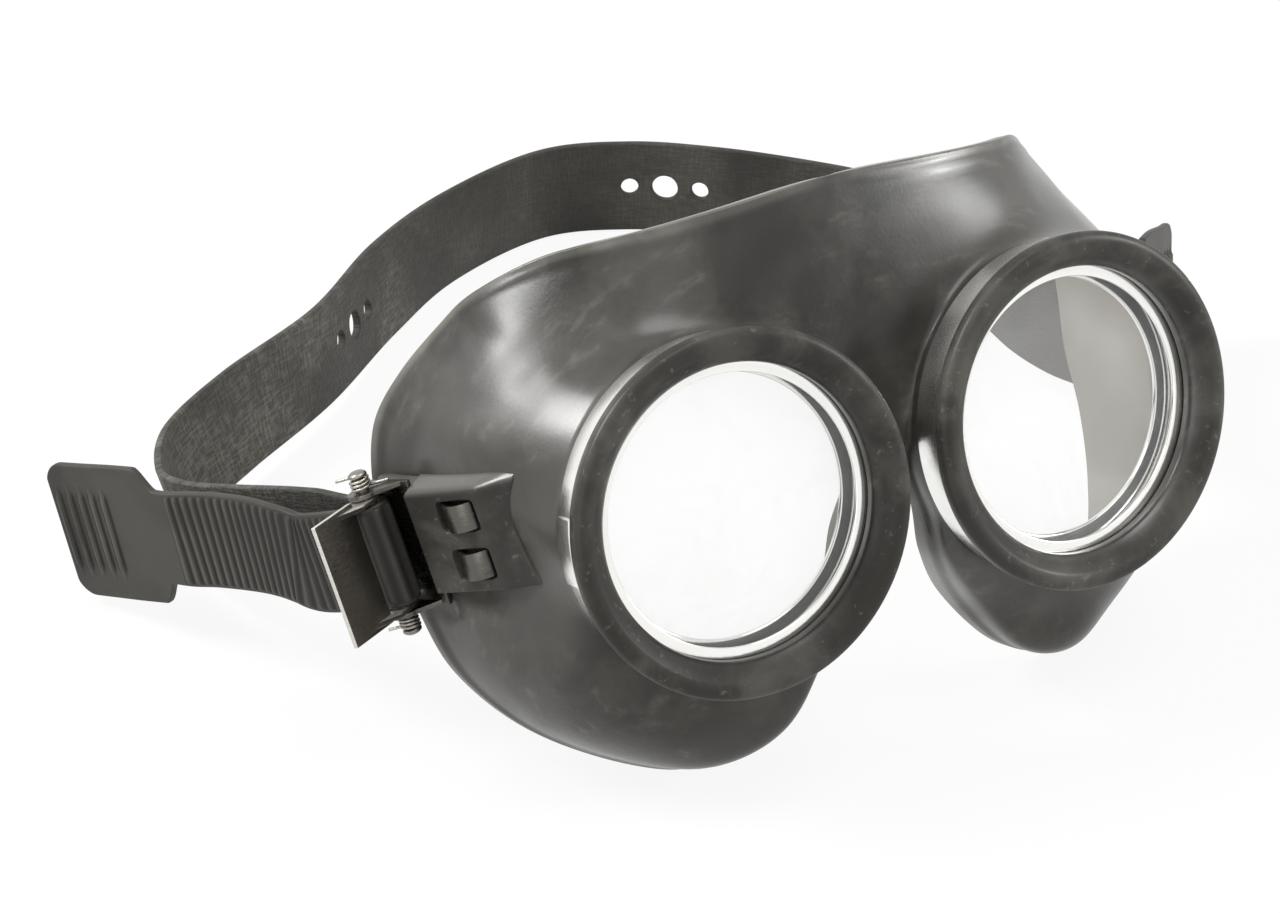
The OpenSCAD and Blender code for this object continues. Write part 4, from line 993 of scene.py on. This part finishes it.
class GOGGLES_OT_clamp_bands(bpy.types.Operator):
    """Metal bands in the grooves behind the flanges, each with its overlapped end"""
    bl_idname = "goggles.clamp_bands"
    bl_label = "Clamp bands"

    def execute(self, context):
        c = colours()
        bright = metal("band_metal", c["bright"], rgba(c["bright"], 0.72), 0.2, 0.3)
        r, z = COLLAR_R + STACK_GAP, FLANGE_OUT - FLANGE_T - BAND_SINK - BAND_W

        def strip(r0, r1, top):
            return rounded_loop([[r0, z], [r1, z], [r1, z + top], [r0, z + top]], 0.2)

        flat, quads, caps = joined([
            lathe(strip(r, r + BAND_T, BAND_W), 180, 180 + BAND_SPLIT / 2, 360 - BAND_SPLIT),
            lathe(strip(r + BAND_T * 0.98, r + 2 * BAND_T, LAP_W), 30, 180 - BAND_LAP / 2, BAND_LAP)])
        for name, side in SIDES:
            piece(f"{name}_band", carry(on_lens(side), flat), quads, bright, "mask", "band_metal",
                  [f"{name}_clamp_band"], caps=caps)
        return {"FINISHED"}


def plate_copy(name, node, width, finish, body, face_normal):
    """Copy of a CAD plate with its edges rounded. The mark edge is 1 where a face turns away from the plate's
    own direction, where the finish is rubbed bright."""
    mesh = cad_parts[node].data.copy()
    mesh.name = name
    bm = bmesh.new()
    bm.from_mesh(mesh)
    bmesh.ops.remove_doubles(bm, verts=bm.verts, dist=2e-6)
    bmesh.ops.dissolve_limit(bm, angle_limit=math.radians(1), verts=bm.verts, edges=bm.edges)
    sharp = [e for e in bm.edges if len(e.link_faces) == 2 and e.calc_face_angle(0) > math.radians(38)]
    bmesh.ops.bevel(bm, geom=sharp, offset=width * MM, segments=2, profile=0.6, affect="EDGES",
                    clamp_overlap=True)
    bmesh.ops.triangulate(bm, faces=[face for face in bm.faces if len(face.verts) > 4])
    bm.to_mesh(mesh)
    bm.free()
    normals = np.empty(len(mesh.polygons) * 3)
    mesh.polygons.foreach_get("normal", normals)
    away = 1 - np.abs(normals.reshape(-1, 3) @ face_normal)
    layer = mesh.attributes.new("edge", "FLOAT", "FACE")
    layer.data.foreach_set("value", ease((away - 0.1) / 0.3).astype(np.float32))
    mesh.materials.clear()
    return dress(name, mesh, finish, body, [node], 35)


class GOGGLES_OT_buckle_plates(bpy.types.Operator):
    """Buckle bases with rolled tongues, and the thumb plates"""
    bl_idname = "goggles.buckle_plates"
    bl_label = "Buckle plates"

    def execute(self, context):
        s, c = sizes(), colours()
        base = metal("buckle_steel", rgba(c["steel"], 0.4), rgba(c["steel"], 0.16), 0.24, 1.0)
        thumb = metal("lever_steel", c["lever"], rgba(c["lever"], 0.6), 0.4, 1.0, c["edge"])
        for name, side in SIDES:
            m = on_clip(side)
            a = math.radians(LEVER_REST[side])
            flat = m[:3, :3] @ np.array([-math.sin(a), math.cos(a), 0])
            plate_copy(f"{name}_base", f"{name}_buckle_base", s["bevel"], base, "mask",
                       m[:3, 0])
            plate_copy(f"{name}_thumb_plate", f"{name}_thumb_lever", s["bevel"], thumb, f"{name}_lever",
                       flat)
        return {"FINISHED"}


class GOGGLES_OT_pins(bpy.types.Operator):
    """Hinge pins with riveted heads, and the rollers round them"""
    bl_idname = "goggles.pins"
    bl_label = "Pins and rollers"

    def execute(self, context):
        s, c = sizes(), colours()
        steel = metal("pin_steel", c["steel"], rgba(c["steel"], 0.5), 0.28, 1.0)
        head_z = COIL_Z + (s["spring_turns"] + 1) * s["spring_wire"] * 1.1 + 0.15
        r, tall = PIN_D / 2, END_H + 0.3
        half = rounded([[r, 0], [r, head_z], [PIN_D * 0.8, head_z], [PIN_D * 0.8, head_z + 0.5],
                        [PIN_D * 0.5, head_z + 0.9]], 0.25)
        axis = [[0.02, head_z + 0.9]]
        rod = np.concatenate([axis, half[::-1], half * [1, -1], np.multiply(axis, [1, -1])])
        tube = rounded_loop([[r + PIN_GAP, -tall / 2], [ROLLER_D / 2, -tall / 2], [ROLLER_D / 2, tall / 2],
                             [r + PIN_GAP, tall / 2]], 0.15)
        turned = (("pin", "hinge_pin", "mask", lathe(rod, 32)),
                  ("turning_roller", "roller", None, lathe(tube, 40)))
        for name, side in SIDES:
            for kind, node, body, (flat, quads, _) in turned:
                piece(f"{name}_{kind}", carry(on_clip(side), flat), quads, steel, body or f"{name}_roller",
                      "pin_steel", [f"{name}_{node}"])
        return {"FINISHED"}


COIL_GAP, COIL_PITCH, TAIL_L = 0.25, 1.25, 4.2


def spring(turns, wire):
    """Wire swept along a helix with a straight tail at each end: centre (r cos a, r sin a, pitch a / 360)."""
    r, pitch = PIN_D / 2 + COIL_GAP + wire / 2, wire * COIL_PITCH
    a = np.radians(np.arange(0, turns * 360 + 1, 12.0))
    line = np.stack([r * np.cos(a), r * np.sin(a), pitch * a / (2 * math.pi)], -1)
    run = np.linspace(TAIL_L, 0.4, 8)[:, None]
    leave = np.array([-math.sin(a[-1]), math.cos(a[-1]), 0])
    line = np.concatenate([line[:1] - run * np.array([0, 1, 0]), line, line[-1:] + run[::-1] * leave])
    t = unit(np.gradient(line, axis=0))
    across = unit(np.cross(t, [0, 0, 1]))
    q = np.radians(np.arange(0, 360, 36))
    tube = line[:, None] + wire / 2 * (np.cos(q)[None, :, None] * across[:, None]
                                       + np.sin(q)[None, :, None] * np.cross(across, t)[:, None])
    n, m = tube.shape[:2]
    return tube.reshape(-1, 3), grid(n, m, False, True), end_caps(n, m)


class GOGGLES_OT_springs(bpy.types.Operator):
    """Torsion springs at the ends of the hinge pins"""
    bl_idname = "goggles.springs"
    bl_label = "Springs"

    def execute(self, context):
        s, c = sizes(), colours()
        steel = metal("spring_steel", rgba(c["steel"], 1.4), rgba(c["steel"], 0.7), 0.24, 1.0)
        flat, quads, caps = spring(s["spring_turns"], s["spring_wire"])
        place = move([0, 0, COIL_Z + s["spring_wire"] / 2]) @ turn("z", 40)
        for name, side in SIDES:
            upper = (carry(on_clip(side) @ place, flat), quads, caps)
            lower = (carry(on_clip(side) @ np.diag([1, 1, -1, 1]) @ place, flat), quads[:, ::-1],
                     [cap[::-1] for cap in caps])
            points, faces, ends = joined([upper, lower])
            piece(f"{name}_springs", points, faces, steel, "mask", "spring_steel", [f"{name}_lever_springs"],
                  caps=ends)
        return {"FINISHED"}


# Camera, lamps, world and floor, in metres

LENS_MM, SENSOR_MM = 106.9, 36.0
CAMERA_PLACE = Vector((-0.3229, -0.5273, 0.3461))
CAMERA_RIGHT = Vector((0.8578, -0.5140, -0.0003))
CAMERA_UP = Vector((0.2485, 0.4142, 0.8756))
CAMERA_AHEAD = Vector((0.4499, 0.7511, -0.4831))
LIT_POINT = Vector((0, 0, 0.04))
LAMPS = (("key_lamp", (-0.75, 0.4, 0.85), 0.5, 13.0), ("side_lamp", (0.98, -0.6, 0.42), 0.55, 5.0),
         ("spot_lamp", (0.8, -0.52, 0.37), 0.1, 1.2), ("top_lamp", (0.1, -0.3, 1.2), 0.7, 5.0),
         ("fill_lamp", (-0.8, -0.9, 0.4), 0.8, 2.0))
FLOOR_REACH, FLOOR_DROP, FLOOR_GLOW, SKY_LIGHT = 12.0, 0.0002, 0.9, 0.25


class GOGGLES_OT_stage(bpy.types.Operator):
    """Camera, lamps, world and the pale floor"""
    bl_idname = "goggles.stage"
    bl_label = "Stage"

    def execute(self, context):
        scene = context.scene
        camera = bpy.data.objects.new("photo_camera", bpy.data.cameras.new("photo_camera"))
        camera.data.lens, camera.data.sensor_width = LENS_MM, SENSOR_MM
        camera.data.clip_start, camera.data.clip_end = 0.01, 20.0
        axes = Matrix([v.normalized() for v in (CAMERA_RIGHT, CAMERA_UP, -CAMERA_AHEAD)]).transposed()
        camera.matrix_world = Matrix.Translation(CAMERA_PLACE) @ axes.to_4x4()
        scene.collection.objects.link(camera)
        scene.camera = camera
        for name, place, size, power in LAMPS:
            lamp = bpy.data.objects.new(name, bpy.data.lights.new(name, "AREA"))
            lamp.data.shape, lamp.data.size, lamp.data.energy = "DISK", size, power
            lamp.location = place
            lamp.rotation_euler = (LIT_POINT - Vector(place)).to_track_quat("-Z", "Y").to_euler()
            scene.collection.objects.link(lamp)
        world = Finish("pale_world", "World")
        strength = SKY_LIGHT + (1 - SKY_LIGHT) * world.looked_at()
        sky = {"Color": (1.0, 0.998, 0.99, 1.0), "Strength": strength}
        scene.world = world.close(world.node("ShaderNodeBackground", {}, sky))
        add_floor(colours()["floor"])
        scene.view_settings.view_transform = "Standard"
        return {"FINISHED"}


def add_floor(colour):
    """Wide floor: shows itself as white to the camera, keeps a share of its own shading for the shadow."""
    f = Finish("floor_paint")
    matt = f.node("ShaderNodeBsdfDiffuse", {}, {"Color": rgba(colour)})
    glow = f.node("ShaderNodeEmission", {}, {"Color": (1, 1, 0.998, 1), "Strength": 1.0})
    paint = f.close(f.node("ShaderNodeMixShader", {}, {0: f.looked_at() * FLOOR_GLOW, 1: matt, 2: glow}))
    mesh = bpy.data.meshes.new("floor")
    corners = [(x * FLOOR_REACH, y * FLOOR_REACH, 0) for x, y in ((-1, -1), (1, -1), (1, 1), (-1, 1))]
    mesh.from_pydata(corners, [], [(0, 1, 2, 3)])
    mesh.materials.append(paint)
    floor = bpy.data.objects.new("floor", mesh)
    floor.location.z = -FLOOR_DROP
    bpy.context.scene.collection.objects.link(floor)


OPERATORS = (GOGGLES_OT_stage, GOGGLES_OT_face_piece, GOGGLES_OT_headband, GOGGLES_OT_lens_stacks,
             GOGGLES_OT_clamp_bands, GOGGLES_OT_buckle_plates, GOGGLES_OT_pins, GOGGLES_OT_springs)


class GOGGLES_PT_sidebar(bpy.types.Panel):
    """Sizes, colours and the operators that build each piece"""
    bl_label = "Goggles"
    bl_idname = "GOGGLES_PT_sidebar"
    bl_space_type = "VIEW_3D"
    bl_region_type = "UI"
    bl_category = "Goggles"

    def draw(self, context):
        for group in (context.scene.goggles_sizes, context.scene.goggles_finishes):
            box = self.layout.box()
            for key in group.__annotations__:
                box.prop(group, key)
        for operator in OPERATORS:
            self.layout.operator(operator.bl_idname)


CLASSES = (GogglesSizes, GogglesFinishes, *OPERATORS, GOGGLES_PT_sidebar)


def register():
    for cls in CLASSES:
        bpy.utils.register_class(cls)
    bpy.types.Scene.goggles_sizes = bpy.props.PointerProperty(type=GogglesSizes)
    bpy.types.Scene.goggles_finishes = bpy.props.PointerProperty(type=GogglesFinishes)


def unregister():
    del bpy.types.Scene.goggles_finishes
    del bpy.types.Scene.goggles_sizes
    for cls in reversed(CLASSES):
        bpy.utils.unregister_class(cls)


def main():
    register()
    for operator in OPERATORS:
        group, name = operator.bl_idname.split(".")
        getattr(getattr(bpy.ops, group), name)()


if __name__ == "__main__":
    main()
